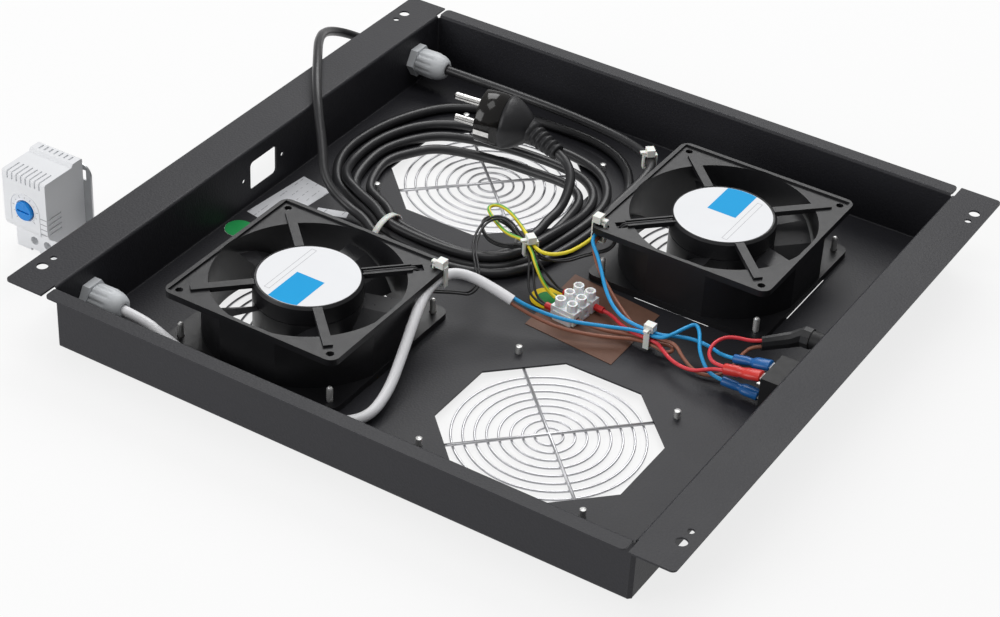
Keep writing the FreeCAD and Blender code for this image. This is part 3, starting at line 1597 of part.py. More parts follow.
# yellow and green: from the mains lead through the loop tie, out and back, to the middle pole
earth = [
    core_start(mains_end, mains_way, 210),
    core_start(mains_end, mains_way, 210, 4),
    at(23, 32, 28),
    at(18.5, 23, 25.6),
    at(10, 15.6, 24.8),
    through_loop(6, 1.6, 1.8),
    through_loop(-6, 1.6, 1.8),
    at(-20, 31.6, 26),
    at(-33, 40, 26.5),
    at(-43, 42.5, 26.5),
    at(-47, 36, 26.2),
    at(-38, 28, 26),
    at(-22, 18.4, 25.8),
    through_loop(-6, -1.6, 1.8),
    through_loop(6, -1.6, 1.8),
    at(6.5, 5.8, 22),
    at(14.5, 2.9, 12.2),
    on_block(-face_x - 6, 0, tunnel_height),
    on_block(-half_tube, 0, tunnel_height),
]
keep("earth_wire", wire(earth, "earth wire"))


lead_level = fan_depth - strut_depth + 1.95


def fan_lead_start(centre, turn, side):
    """From the motor housing along the strut's channel, down the notch and out at the corner."""
    points = [
        Vector(hub_radius, side, lead_level),
        Vector(57.5, side, lead_level),
        Vector(64.6, side, lead_level - 0.2),
        Vector(66.2, side, fan_depth - 9.5),
        Vector(69.5, side, 19.5),
        Vector(80, side, 18.0),
        Vector(88, side, 16.6),
    ]
    place = FreeCAD.Placement(centre, FreeCAD.Rotation(up, 45 + turn))
    return [place.multVec(point) for point in points]


def ferrule_end(pole, side, out=0.0):
    return on_block(-face_x - ferrule_length - out, pole_y(pole) + side, tunnel_height)


front_leads = []
for side, slot, shift, drops, pole in (
    (0.9, 0.87, 0.0, [at(7.6, 10.6, 19), at(14, 12, 11)], 2),
    (-0.9, -0.87, 2.2, [at(6.4, 4.4, 17.6), at(11.5, -2.6, 10)], 0),
):
    route = fan_lead_start(front_fan, 0, side)
    route += [
        at(-13.2 + shift, -36.6 - shift * 0.5, 17.2),
        at(-12.6 + shift, -29, 19.6),
        at(-20 + shift, -19, 23.4),
        at(-31.4 + shift, -6, 26.4),
        at(-38 + shift, 12, 28.6),
        at(-36.4 + shift, 25 - shift, 30),
        at(-27, 28.6 - shift, 30),
        at(-17, 24.8 - shift, 26.3),
        through_loop(-6.5, slot, -1.1),
        through_loop(6, slot, -1.1),
    ]
    route += drops
    route += [ferrule_end(pole, 0.85, 5), ferrule_end(pole, 0.85)]
    front_leads.append(cord(route, fan_lead_diameter, "front fan lead", 4))
keep("front_fan_leads", group(front_leads))

rear_leads = []
for side, slot, lift, drop, drops, pole in (
    (0.9, 2.6, -1.1, 0.0, [at(4, 2.6, 16.2), at(9, -5, 9)], 0),
    (-0.9, 0.87, -2.85, 2.0, [at(6.2, 8.6, 16), at(13, 9, 9)], 2),
):
    route = fan_lead_start(rear_fan, 180, side)
    route += [
        at(16.5 + side, 26 - side, 17.5),
        at(9.2 + side, 17 - side, 20.6 - drop),
        through_loop(6, slot, lift),
        through_loop(-6.5, slot, lift),
        at(-18, 27, 22.6 - drop),
        at(-33, 35, 22.6 - drop),
        at(-44, 34.4, 22.2 - drop),
        at(-45, 25.6, 21.6 - drop),
        at(-33, 14, 20.8 - drop),
        at(-19, 13.4, 21.4 - drop),
        through_loop(-6.5, -slot, lift),
        through_loop(6, -slot, lift),
    ]
    route += drops
    route += [ferrule_end(pole, -0.85, 5), ferrule_end(pole, -0.85)]
    rear_leads.append(cord(route, fan_lead_diameter, "rear fan lead", 4))
keep("rear_fan_leads", group(rear_leads))


def cable_tie(centre, way, half_side, low, high, head_side=0.0):
    """A square band round a bundle, its ratchet head on top; low and high are from centre."""
    band = block(-tie_width / 2, -half_side - tie_band, low - tie_band,
                 tie_width / 2, half_side + tie_band, high + tie_band)
    hollow = block(-5, -half_side, low, 5, half_side, high)
    head = block(-3.0, head_side - 2.6, high + 0.4, 3.0, head_side + 2.6, high + 5.0)
    tail = block(-1.4, head_side - 6.4, high + 2.0, 1.4, head_side - 2, high + 3.1)
    tie = fused(band.cut(hollow), head, tail)
    side = up.cross(way).normalize()
    tie.Placement = FreeCAD.Placement(centre, FreeCAD.Rotation(way, side, up, "XYZ"))
    return tie


def corner_tie(fan_centre, side_x, side_y, lead_x, lead_height):
    """Band round a lead and up through the fan's corner hole, over the flange's edge."""
    hole = Vector(side_x * fan_hole_pitch / 2, side_y * fan_hole_pitch / 2, 0)
    edge_x = side_x * fan_size / 2
    inner = hole.x + side_x * 0.5
    outer = edge_x + side_x * 0.25
    centre = fan_centre + Vector((inner + outer) / 2, hole.y, 0)
    centre.z = at(0, 0, lead_height).z
    low = -section_reach(thermostat_lead_diameter) - 0.1
    high = floor_top + fan_depth + 0.05 - centre.z
    return cable_tie(centre, Vector(0, -side_x, 0), abs(outer - inner) / 2, low, high, 1.0)


wire_reach = section_reach(wire_diameter, 4)
lead_reach = section_reach(fan_lead_diameter, 4)
mains_reach = section_reach(mains_diameter)
along_mains = (inner_mains_route[7] - inner_mains_route[6]).normalize()
mains_tie = inner_mains_route[6] + (inner_mains_route[7] - inner_mains_route[6]) * 0.55
ties = [
    cable_tie(bundle_centre, Vector(1, 0, 0), pitch / 2 + wire_reach + 0.1,
              -pitch - wire_reach - 0.1, pitch + wire_reach + 0.1),
    cable_tie(loop_centre, loop_way, 2.6 + lead_reach + 0.15, -2.85 - lead_reach - 0.1,
              1.8 + wire_reach + 0.1),
    corner_tie(front_fan, 1, 1, -25.0, 31.1),
    corner_tie(rear_fan, -1, -1, 26.9, 31.0),
    cable_tie(mains_tie, Vector(along_mains.x, along_mains.y, 0).normalize(),
              mains_reach + 0.15, -mains_reach - 0.35, mains_reach + 0.35),
]
keep("cable_ties", group(ties))


# ---------------------------------------------------------------- write every node
for node, shape in solids.items():
    shape.exportStep("parts/" + node + ".step")
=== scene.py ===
import math

import bpy
from mathutils import Matrix, Vector


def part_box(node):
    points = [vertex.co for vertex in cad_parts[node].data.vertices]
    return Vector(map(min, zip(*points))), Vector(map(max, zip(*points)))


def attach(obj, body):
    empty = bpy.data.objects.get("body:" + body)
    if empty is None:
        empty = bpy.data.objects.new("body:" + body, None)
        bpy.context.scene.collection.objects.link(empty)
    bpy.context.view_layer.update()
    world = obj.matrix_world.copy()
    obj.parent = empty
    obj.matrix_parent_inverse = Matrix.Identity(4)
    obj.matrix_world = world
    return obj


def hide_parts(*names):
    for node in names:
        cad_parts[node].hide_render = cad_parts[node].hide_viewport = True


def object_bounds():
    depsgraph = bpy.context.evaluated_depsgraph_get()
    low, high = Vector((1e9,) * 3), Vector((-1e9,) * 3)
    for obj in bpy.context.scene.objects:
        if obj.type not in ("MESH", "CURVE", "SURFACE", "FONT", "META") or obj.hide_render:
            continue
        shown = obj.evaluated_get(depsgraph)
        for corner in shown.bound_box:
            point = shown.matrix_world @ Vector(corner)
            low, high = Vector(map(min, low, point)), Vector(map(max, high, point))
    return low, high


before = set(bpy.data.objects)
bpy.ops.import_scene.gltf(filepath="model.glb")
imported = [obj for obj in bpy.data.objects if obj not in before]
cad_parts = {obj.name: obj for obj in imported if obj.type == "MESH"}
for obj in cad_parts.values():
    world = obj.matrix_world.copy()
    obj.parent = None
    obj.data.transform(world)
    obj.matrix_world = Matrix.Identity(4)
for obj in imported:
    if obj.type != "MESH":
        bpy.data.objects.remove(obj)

cad_box = [list(corner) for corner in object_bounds()]


# ---------------------------------------------------------------- camera
# Looks down over the front right corner of the tray, far enough off for nearly parallel edges.
camera_data = bpy.data.cameras.new("camera")
camera_data.sensor_width = 36.0
camera_data.lens = 90.02
camera_data.clip_end = 20.0
camera = bpy.data.objects.new("camera", camera_data)
bpy.context.collection.objects.link(camera)
bpy.context.scene.camera = camera
camera_turn = math.radians(30.226)
camera_tilt = math.radians(35.429)
camera_roll = math.radians(3.226)
sight_back = Vector((
    math.sin(camera_turn) * math.cos(camera_tilt),
    -math.cos(camera_turn) * math.cos(camera_tilt),
    math.sin(camera_tilt),
))
level_right = Vector((math.cos(camera_turn), math.sin(camera_turn), 0))
level_up = sight_back.cross(level_right)
view_right = level_right * math.cos(camera_roll) + level_up * math.sin(camera_roll)
view_up = level_up * math.cos(camera_roll) - level_right * math.sin(camera_roll)
camera_place = Vector((0.60880, -1.06693, 0.82368))
camera.matrix_world = Matrix.Translation(camera_place) @ Matrix(
    (view_right, view_up, sight_back)
).transposed().to_4x4()


# ---------------------------------------------------------------- mains cord with its coil
# Black round PVC mains lead: out of the back gland, over the wall into the tray, four and a bit
# loose turns on the floor, and out of the coil up to its moulded plug.
floor_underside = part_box("tray")[0][2]
mains_diameter = 0.0062


def at(x, y, height):
    """A place in the tray from millimetres: height is above the floor's underside."""
    return Vector((x / 1000, y / 1000, floor_underside + height / 1000))


def route(*places):
    """A cord's guiding points, from millimetres."""
    return [at(*place) for place in places]


class Value:
    """A node's output in one material: arithmetic on it adds Math nodes."""

    def __init__(self, tree, socket=None):
        self.tree = tree
        self.socket = socket

    def node(self, kind, settings, inputs, output=0):
        """Any node: its settings are made first, then the values or links of its sockets."""
        new = self.tree.nodes.new(kind)
        for name, setting in settings.items():
            setattr(new, name, setting)
        for name, value in inputs.items():
            if isinstance(value, Value):
                self.tree.links.new(value.socket, new.inputs[name])
            else:
                new.inputs[name].default_value = value
        return Value(self.tree, new.outputs[output])

    def maths(self, operation, first, second=0.0):
        return self.node("ShaderNodeMath", {"operation": operation}, {0: first, 1: second})

    def __add__(self, other):
        return self.maths("ADD", self, other)

    def __mul__(self, other):
        return self.maths("MULTIPLY", self, other)

    def __gt__(self, other):
        return self.maths("GREATER_THAN", self, other)

    def __lt__(self, other):
        return self.maths("LESS_THAN", self, other)

    def axis(self, index):
        """One axis of a place or a direction."""
        return self.node("ShaderNodeSeparateXYZ", {}, {0: self}, index)

    def mixed(self, dark, bright):
        """This value chooses between two colours."""
        inputs = {"Factor": self, 6: (*dark, 1.0), 7: (*bright, 1.0)}
        return self.node("ShaderNodeMix", {"data_type": "RGBA"}, inputs, 2)


def finish(name, colour, **constants):
    """A new material with its constants set; gives the material, its shader and its place."""
    material = bpy.data.materials.new(name)
    material.use_nodes = True
    shader = material.node_tree.nodes["Principled BSDF"]
    shader.inputs["Base Color"].default_value = (*colour, 1.0)
    for constant, value in constants.items():
        shader.inputs[constant.replace("_", " ")].default_value = value
    place = Value(material.node_tree).node("ShaderNodeTexCoord", {}, {}, 3)
    return material, shader, place


def feed(shader, name, value):
    value.tree.links.new(value.socket, shader.inputs[name])


def noise(place, scale, detail=3.0):
    """Grain of a given number of grains a metre, between 0 and 1."""
    return place.node("ShaderNodeTexNoise", {}, {
        "Vector": place, "Scale": scale, "Detail": detail, "Roughness": 0.55,
    })


def mottle(shader, place, scale, dark, bright, detail=3.0):
    """Let the colour wander between two shades."""
    feed(shader, "Base Color", noise(place, scale, detail).mixed(dark, bright))


def wear(shader, place, scale, spread, least, detail=3.0):
    """Let the roughness wander over a spread above its least value."""
    feed(shader, "Roughness", noise(place, scale, detail) * spread + least)


def bumped(shader, height, distance, strength):
    """Let a height value tip the surface."""
    bump = height.node(
        "ShaderNodeBump", {}, {"Height": height, "Distance": distance, "Strength": strength}
    )
    feed(shader, "Normal", bump)


def soft_jacket(name, colour, shade, roughness=0.42):
    """Extruded PVC: a faint mottle in the colour and the lengthwise drag of the die."""
    material, shader, place = finish(name, colour, Specular_IOR_Level=0.45)
    mottle(shader, place, 90.0, colour, shade)
    wear(shader, place, 420.0, 0.16, roughness - 0.08)
    bumped(shader, noise(place, 900.0), 0.00008, 0.5)
    return material


def smooth_line(name, runs, diameter, material, sides=12):
    """Round tubes; each centreline is one smooth open curve led by its guiding points."""
    curve = bpy.data.curves.new(name, "CURVE")
    curve.dimensions = "3D"
    curve.bevel_depth = diameter / 2
    curve.bevel_resolution = sides // 4
    curve.use_fill_caps = True
    for points in runs:
        spline = curve.splines.new("NURBS")
        spline.points.add(len(points) - 1)
        for target, point in zip(spline.points, points):
            target.co = (point[0], point[1], point[2], 1.0)
        spline.order_u = 3
        spline.use_endpoint_u = True
        spline.resolution_u = 8
    curve.materials.append(material)
    piece = bpy.data.objects.new(name, curve)
    bpy.context.collection.objects.link(piece)
    return piece


# Each station lies across the coil: outermost and innermost strand, then how the strands share
# the width and which of them lies on top. They are held close at the tie and fan out elsewhere.
coil_low = 4.7
lifted = 5.2
tied = [(0.0, 0), (0.34, 0), (0.51, 1), (0.67, 0), (1.0, 0)]
loose = [(0.0, 0), (0.33, 0), (0.66, 0), (1.0, 0)]
fanned = [(0.0, 0), (0.42, 0), (0.70, 0), (1.0, 0)]
returning = [(0.0, 0), (0.25, 1), (0.50, 0), (1.0, 0)]
coil_stations = [
    ((-101, -4.5), (-101, 15.0), tied),
    ((-62, -7.5), (-62, 11.2), tied),
    ((-26, -1.0), (-39, 14.0), tied),
    ((-6.5, 20.5), (-25.5, 27.0), tied),
    ((2.5, 58.0), (-22.8, 57.0), tied),
    ((4.7, 90.0), (-16.0, 87.0), loose),
    ((4.7, 124.0), (-20.5, 108.0), fanned),
    ((-13.2, 156.5), (-36.0, 117.5), fanned),
    ((-40.0, 172.4), (-60.0, 116.4), fanned),
    ((-76.0, 173.8), (-86.0, 115.0), fanned),
    ((-114.0, 170.0), (-110.0, 110.5), fanned),
    ((-148.0, 155.5), (-128.5, 103.5), fanned),
    ((-164.5, 129.0), (-137.0, 91.0), loose),
    ((-174.3, 97.0), (-145.8, 74.0), loose),
    ((-174.6, 62.0), (-143.0, 56.0), loose),
    ((-158.5, 33.6), (-135.5, 37.5), returning),
    ((-137.0, 21.5), (-124.0, 32.0), returning),
    ((-116.0, 13.4), (-112.0, 26.0), returning),
]
full_turns = 4
last_station = 4


def coil_points():
    """The strand's guiding points, turn after turn inwards, to the right-hand side."""
    points = []
    for step in range(full_turns * len(coil_stations) + last_station + 1):
        turn, index = divmod(step, len(coil_stations))
        outer, inner, slots = coil_stations[index]
        share, layer = slots[turn]
        x = outer[0] + (inner[0] - outer[0]) * share
        y = outer[1] + (inner[1] - outer[1]) * share
        points.append(at(x, y, coil_low + layer * lifted))
    return points


gland_tail = 3.4
gland_end_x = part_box("gland_lock_nuts")[0][0] * 1000 - gland_tail
coil_entry = at(-117, 5.7, 7.2)
entry_way = Vector((-7.4, 2.0, 0)).normalized() / 1000
plug_face = at(-103.3, 118.4, 32.2)
plug_forward = Vector((-0.975, -0.20, 0.08)).normalized()
plug_length = 0.031
relief_length = 0.028
relief_back = Vector((0.955, -0.20, -0.215)).normalized()
plug_tail = plug_face - plug_forward * plug_length
relief_end = plug_tail + relief_back * relief_length
mains_exit = at(gland_end_x, 170, 20)
mains_points = [mains_exit] + route(
    (-212, 170, 20), (-228, 167, 23), (-240, 156, 30), (-240, 137, 39), (-229, 114, 47),
    (-212, 89, 50), (-195, 64, 49), (-180, 45, 42), (-166, 30, 30), (-152, 12, 18.5),
) + [coil_entry + entry_way * 17, coil_entry] + coil_points() + route(
    (-23.2, 70, 7.2), (-23.2, 85.5, 7.2), (-25.4, 99, 13.4), (-30, 109.5, 18.2),
) + [relief_end + relief_back * 0.007, relief_end - relief_back * 0.004]
black_pvc = soft_jacket("black_pvc", (0.018, 0.018, 0.020), (0.030, 0.030, 0.032), 0.36)
mains_cord = smooth_line("mains_flex", [mains_points], mains_diameter, black_pvc)
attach(mains_cord, "tray_assembly")
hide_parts("mains_cord", "mains_cord_coil")


# ---------------------------------------------------------------- thermostat cord
# White round PVC lead from the front gland down to the ground and into the thermostat's side.
lead_diameter = 0.0064
thermostat_exit = at(gland_end_x, -170, 20)
thermostat_points = [thermostat_exit] + route(
    (-202.8, -170, 20), (-209, -167.9, 19.2), (-214.3, -163.9, 17.2), (-218, -158.4, 14.4),
    (-220.6, -149.2, 10.6), (-223, -140, 7.4), (-225.2, -131.4, 4.8), (-227.7, -122.2, 3.0),
    (-231.3, -116.7, 2.0), (-236.5, -112.6, 1.6), (-242.8, -110.5, 1.6), (-252.5, -110.5, 1.6),
)
white_pvc = soft_jacket("white_pvc", (0.90, 0.90, 0.92), (0.86, 0.86, 0.88), 0.38)
thermostat_cord = smooth_line("thermostat_flex", [thermostat_points], lead_diameter, white_pvc)
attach(thermostat_cord, "tray_assembly")
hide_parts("thermostat_cord")


# ---------------------------------------------------------------- ground and light
# A wide pale sheet under the object, a large soft lamp high at the back left, a lower one at the
# front left, a weak one above, and an even white surround.
ground_level = cad_box[0][2]
ground_mesh = bpy.data.meshes.new("ground")
ground_mesh.from_pydata(
    [(-6, -6, ground_level), (6, -6, ground_level), (6, 6, ground_level), (-6, 6, ground_level)],
    [], [(0, 1, 2, 3)],
)
ground = bpy.data.objects.new("ground", ground_mesh)
bpy.context.collection.objects.link(ground)


def seen_directly(value):
    """1 for what the camera, a mirror or a window shows, 0 for light on the object."""
    camera_ray, glossy_ray, through_ray = (
        value.node("ShaderNodeLightPath", {}, {}, output) for output in (0, 3, 6)
    )
    return value.maths("MINIMUM", camera_ray + glossy_ray + through_ray, 1.0)


ground_glow_share = 0.80
ground_paper, ground_shader, ground_place = finish("ground_paper", (0.86, 0.86, 0.86), Roughness=0.9)
ground_glow = ground_place.node("ShaderNodeEmission", {}, {"Color": (1.0, 1.0, 1.0, 1.0), "Strength": 1.0})
ground_share = seen_directly(ground_place) * ground_glow_share
ground_mix = ground_place.node("ShaderNodeMixShader", {}, {0: ground_share})
ground_tree = ground_paper.node_tree
ground_tree.links.new(ground_shader.outputs[0], ground_mix.socket.node.inputs[1])
ground_tree.links.new(ground_glow.socket, ground_mix.socket.node.inputs[2])
ground_tree.links.new(ground_mix.socket, ground_tree.nodes["Material Output"].inputs[0])
ground_mesh.materials.append(ground_paper)

world = bpy.data.worlds.new("surround")
bpy.context.scene.world = world
world.use_nodes = True
background = world.node_tree.nodes["Background"]
background.inputs["Color"].default_value = (1.0, 1.0, 1.0, 1.0)
surround_level = 0.30
camera_ray = Value(world.node_tree).node("ShaderNodeLightPath", {}, {}, 0)
world_level = camera_ray * (1.0 - surround_level) + surround_level
world.node_tree.links.new(world_level.socket, background.inputs["Strength"])


def soft_lamp(name, place, target, size, power):
    """A square softbox that faces its target."""
    lamp_data = bpy.data.lights.new(name, "AREA")
    lamp_data.size = size
    lamp_data.energy = power
    lamp = bpy.data.objects.new(name, lamp_data)
    lamp.location = place
    lamp.rotation_euler = (Vector(target) - Vector(place)).to_track_quat("-Z", "Y").to_euler()
    bpy.context.collection.objects.link(lamp)


soft_lamp("back_softbox", (-0.7, 1.5, 1.7), (0, 0, 0), 1.5, 29)
soft_lamp("top_softbox", (0.2, -0.1, 2.0), (0, 0, 0), 1.2, 11)
soft_lamp("front_fill", (-1.3, -2.0, 0.9), (0, 0, 0), 1.6, 30)
bpy.context.scene.view_settings.view_transform = "Standard"


# ---------------------------------------------------------------- tray
# One blank of 1.2 mm steel, folded, with a matt black powder coat that cured to a fine crackle.
def dress(material, *nodes):
    """Give CAD nodes their finish."""
    for name in nodes:
        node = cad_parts[name]
        node.data.materials.clear()
        node.data.materials.append(material)


powder_black = (0.013, 0.013, 0.015)
powder, powder_shader, powder_place = finish("powder_coat", powder_black, Specular_IOR_Level=0.34)
crackle = powder_place.node(
    "ShaderNodeTexVoronoi", {"feature": "SMOOTH_F1"},
    {"Vector": powder_place, "Scale": 720.0, "Smoothness": 0.6}
)
blotch = noise(powder_place, 14.0, 4.0)
feed(powder_shader, "Base Color", (noise(powder_place, 700.0) * 0.6 + blotch * 0.4).mixed(
    powder_black, (0.023, 0.023, 0.029)))
feed(powder_shader, "Roughness", blotch * 0.10 + 0.47)
bumped(powder_shader, crackle + noise(powder_place, 1600.0) * 0.4, 0.00030, 0.30)
dress(powder, "tray")
wall_half_x = 0.190
wall_half_y = 0.199
wall_sheet = 0.0012
face_x = wall_half_x - wall_sheet
face_y = wall_half_y - wall_sheet
seam_gap = 0.0008
seam_low = at(0, 0, 1.0)[2]
seam_high = at(0, 0, 39.0)[2]


def skin(faces, first, rows, sides, closed=True):
    """Add the faces between rings of points that follow each other, and over both ends."""
    for row in range(rows - 1):
        for corner in range(sides):
            beside = (corner + 1) % sides
            faces.append((first + row * sides + corner, first + row * sides + beside,
                          first + (row + 1) * sides + beside, first + (row + 1) * sides + corner))
    if closed:
        faces.append(tuple(first + corner for corner in reversed(range(sides))))
        last = first + (rows - 1) * sides
        faces.append(tuple(last + corner for corner in range(sides)))


def prism(points, faces, outline, low, high):
    """Add an upright prism over a flat outline."""
    first = len(points)
    for level in (low, high):
        points.extend(Vector((x, y, level)) for x, y in outline)
    skin(faces, first, 2, len(outline))


def bare_mesh(name, points, faces, material, smooth=True):
    """A mesh piece at its own place in the tray."""
    mesh = bpy.data.meshes.new(name)
    mesh.from_pydata([tuple(point) for point in points], [], faces)
    mesh.validate()
    for polygon in mesh.polygons:
        polygon.use_smooth = smooth
    mesh.materials.append(material)
    piece = bpy.data.objects.new(name, mesh)
    bpy.context.collection.objects.link(piece)
    return piece


seam_points, seam_faces = [], []
for side in (-1, 1):
    for end in (-1, 1):
        outline = [
            (side * wall_half_x, end * (face_y - seam_gap)), (side * face_x, end * (face_y - seam_gap)),
            (side * (face_x - seam_gap), end * face_y), (side * (face_x - seam_gap), end * wall_half_y),
        ]
        prism(seam_points, seam_faces, outline, seam_low, seam_high)
seams = bare_mesh("corner_seams", seam_points, seam_faces, powder, False)
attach(seams, "tray_assembly")


# ---------------------------------------------------------------- finger guards
# Two crossed rods that end in round eyes, and eight rings of thinner wire welded to them;
# bright plated steel, one guard screwed under each opening.
def middle(node):
    """The middle of a solid's box."""
    low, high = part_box(node)
    return Vector(((low[0] + high[0]) / 2, (low[1] + high[1]) / 2, (low[2] + high[2]) / 2))


def ring_of_wire(points, faces, centre, radius, wire, around=72, section=8):
    """Add one round-section ring to the lists of points and faces."""
    first = len(points)
    for index in range(around):
        angle = 2 * math.pi * index / around
        out = Vector((math.cos(angle), math.sin(angle), 0))
        for corner in range(section):
            turn = 2 * math.pi * corner / section
            points.append(centre + out * (radius + wire * math.cos(turn))
                          + Vector((0, 0, wire * math.sin(turn))))
    for index in range(around):
        onward = (index + 1) % around
        for corner in range(section):
            beside = (corner + 1) % section
            faces.append((first + index * section + corner, first + onward * section + corner,
                          first + onward * section + beside, first + index * section + beside))


def lathe(points, faces, profile, base, way, sides):
    """Add a turned form: profile is radius and distance from base along way."""
    side = way.orthogonal().normalized()
    lift = way.cross(side)
    first = len(points)
    for radius, distance in profile:
        for corner in range(sides):
            turn = 2 * math.pi * corner / sides
            points.append(base + way * distance
                          + (side * math.cos(turn) + lift * math.sin(turn)) * radius)
    skin(faces, first, len(profile), sides)


guard_ring_count = 8
guard_inner_radius = 0.008
guard_outer_radius = 0.055
guard_wire_radius = 0.0008
guard_rod_radius = 0.001
guard_pitch = 0.105
guard_eye_radius = 0.0042
guard_eye_line = guard_eye_radius - guard_rod_radius
guard_rod_reach = guard_pitch / math.sqrt(2) - guard_eye_line
rod_level = floor_underside - guard_rod_radius
ring_level = rod_level - guard_rod_radius - guard_wire_radius
guard_bright, guard_shader, guard_place = finish(
    "guard_plating", (0.62, 0.62, 0.64), Metallic=0.75, Roughness=0.32)
wear(guard_shader, guard_place, 160.0, 0.20, 0.22)
bumped(guard_shader, noise(guard_place, 1500.0), 0.0001, 0.3)
for guard_name in ("front_left", "front_right", "back_left", "back_right"):
    centre = middle("finger_guard_" + guard_name)
    centre.z = ring_level
    points, faces = [], []
    for index in range(guard_ring_count):
        share = index / (guard_ring_count - 1)
        radius = guard_inner_radius + (guard_outer_radius - guard_inner_radius) * share
        ring_of_wire(points, faces, centre, radius, guard_wire_radius)
    centre.z = rod_level
    rod = [(guard_rod_radius, -guard_rod_reach), (guard_rod_radius, guard_rod_reach)]
    for side in (-1, 1):
        lathe(points, faces, rod, centre, Vector((1, side, 0)).normalized(), 10)
    for across in (-1, 1):
        for deep in (-1, 1):
            eye = centre + Vector((across * guard_pitch / 2, deep * guard_pitch / 2, 0))
            ring_of_wire(points, faces, eye, guard_eye_line, guard_rod_radius, 24)
    guard = bare_mesh("guard_" + guard_name, points, faces, guard_bright)
    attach(guard, "tray_assembly")
    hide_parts("finger_guard_" + guard_name)


# ---------------------------------------------------------------- screws
# Zinc-plated M4 pan heads from below: short ones end just over the floor at the open holes, and
# long ones pass the fans' lower flanges.
screw_radius = 0.0020
screw_root = 0.00120
screw_head_radius = 0.0039
screw_head_height = 0.0024
screw_recess_radius = 0.0014
screw_pitch = 0.0015
thread_start = 0.0012
thread_end = 0.0010
tip_chamfer = 0.0004
short_length = 0.0082
long_length = 0.0170
up = Vector((0, 0, 1))
zinc, zinc_shader, zinc_place = finish("zinc_screw", (0.90, 0.90, 0.89), Metallic=0.55, Roughness=0.3)
wear(zinc_shader, zinc_place, 500.0, 0.22, 0.2)
mottle(zinc_shader, zinc_place, 220.0, (0.84, 0.84, 0.83), (0.94, 0.94, 0.92))


def screw_profile(length):
    """Pan head below its seat, then a shank with thread crests, rounded at the tip."""
    profile = [
        (screw_recess_radius, -screw_head_height),
        (screw_head_radius * 0.72, -screw_head_height * 0.94),
        (screw_head_radius * 0.95, -screw_head_height * 0.62),
        (screw_head_radius, -screw_head_height * 0.2),
        (screw_head_radius, 0.0),
        (screw_radius, 0.0),
    ]
    distance = thread_start
    while distance < length - thread_end:
        profile.append((screw_root, distance))
        profile.append((screw_radius, distance + screw_pitch / 2))
        distance += screw_pitch
    profile += [(screw_root, length - tip_chamfer), (screw_root * 0.6, length)]
    return profile


def screw_set(name, node, guards, length):
    """All screws of one length as one piece."""
    points, faces = [], []
    for guard_name in guards:
        centre = middle("finger_guard_" + guard_name)
        for across in (-1, 1):
            for deep in (-1, 1):
                seat = Vector((centre.x + across * guard_pitch / 2, centre.y + deep * guard_pitch / 2,
                               floor_underside - 2 * guard_rod_radius))
                lathe(points, faces, screw_profile(length), seat, up, 16)
    screws = bare_mesh(name, points, faces, zinc)
    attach(screws, "tray_assembly")
    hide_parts(node)


screw_set("short_screws", "guard_screws", ["front_right", "back_left"], short_length)
screw_set("long_screws", "fan_screws", ["front_left", "back_right"], long_length)


# ---------------------------------------------------------------- axial fans
# Two 120 mm fans: glass-filled black moulded frames and impellers, a ground shaft in a bronze bush
# with a steel core round it, blowing up through the struts; under the front one a thin black frame of
# painted shade fills the gap between its lower flange and the opening.
def moulding(name, colour, shade, roughness, grain, depth):
    """Moulded plastic with the fine grain of its tool."""
    material, shader, place = finish(name, colour, Specular_IOR_Level=0.38)
    mottle(shader, place, 60.0, colour, shade)
    wear(shader, place, 240.0, 0.14, roughness - 0.07)
    bumped(shader, noise(place, grain), depth, 0.5)
    return material


fan_black = moulding(
    "fan_moulding", (0.008, 0.008, 0.009), (0.013, 0.013, 0.015), 0.40, 1300.0, 0.00012
)
blade_black = moulding(
    "blade_moulding", (0.016, 0.016, 0.018), (0.026, 0.026, 0.028), 0.30, 900.0, 0.00008
)
core_steel, core_shader, core_place = finish(
    "core_steel", (0.32, 0.30, 0.28), Metallic=0.9, Roughness=0.5
)
core_height = core_place.axis(2)
laminations = core_height.maths("SINE", core_height * 12000.0)
feed(core_shader, "Roughness", laminations * 0.12 + 0.45)
bumped(core_shader, laminations, 0.0001, 0.4)
shaft_steel, shaft_shader, shaft_place = finish("shaft_steel", (0.6, 0.6, 0.6), Metallic=1.0)
wear(shaft_shader, shaft_place, 800.0, 0.1, 0.16)
bush_bronze, bush_shader, bush_place = finish("bush_bronze", (0.45, 0.30, 0.14), Metallic=1.0)
wear(bush_shader, bush_place, 1800.0, 0.3, 0.3)
for fan in ("front_fan_", "rear_fan_"):
    dress(fan_black, fan + "frame")
    dress(blade_black, fan + "rotor")
    dress(core_steel, fan + "stator")
    dress(shaft_steel, fan + "shaft")
    dress(bush_bronze, fan + "bearing")


# Painted shade: a thin square frame of black fan moulding round the front fan's lower flange, a dark sheet
# that stands for the shade in the gap between flange and opening.
gap_shade_inner = 0.0590
gap_shade_outer = 0.0625
gap_shade_points, gap_shade_faces = [], []
gap_shade_centre = middle("front_fan_rotor")
gap_shade_low = at(0, 0, 0.2)[2]
gap_shade_high = at(0, 0, 1.0)[2]
for side in (-1, 1):
    for x0, x1, y0, y1 in (
        (side * gap_shade_inner, side * gap_shade_outer, -gap_shade_outer, gap_shade_outer),
        (-gap_shade_inner, gap_shade_inner, side * gap_shade_inner, side * gap_shade_outer),
    ):
        outline = [
            (gap_shade_centre.x + x, gap_shade_centre.y + y) for x, y in ((x0, y0), (x1, y0), (x1, y1), (x0, y1))
        ]
        prism(gap_shade_points, gap_shade_faces, outline, gap_shade_low, gap_shade_high)
gap_shade_frame = bare_mesh("front_fan_gap_shade", gap_shade_points, gap_shade_faces, fan_black, False)
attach(gap_shade_frame, "tray_assembly")


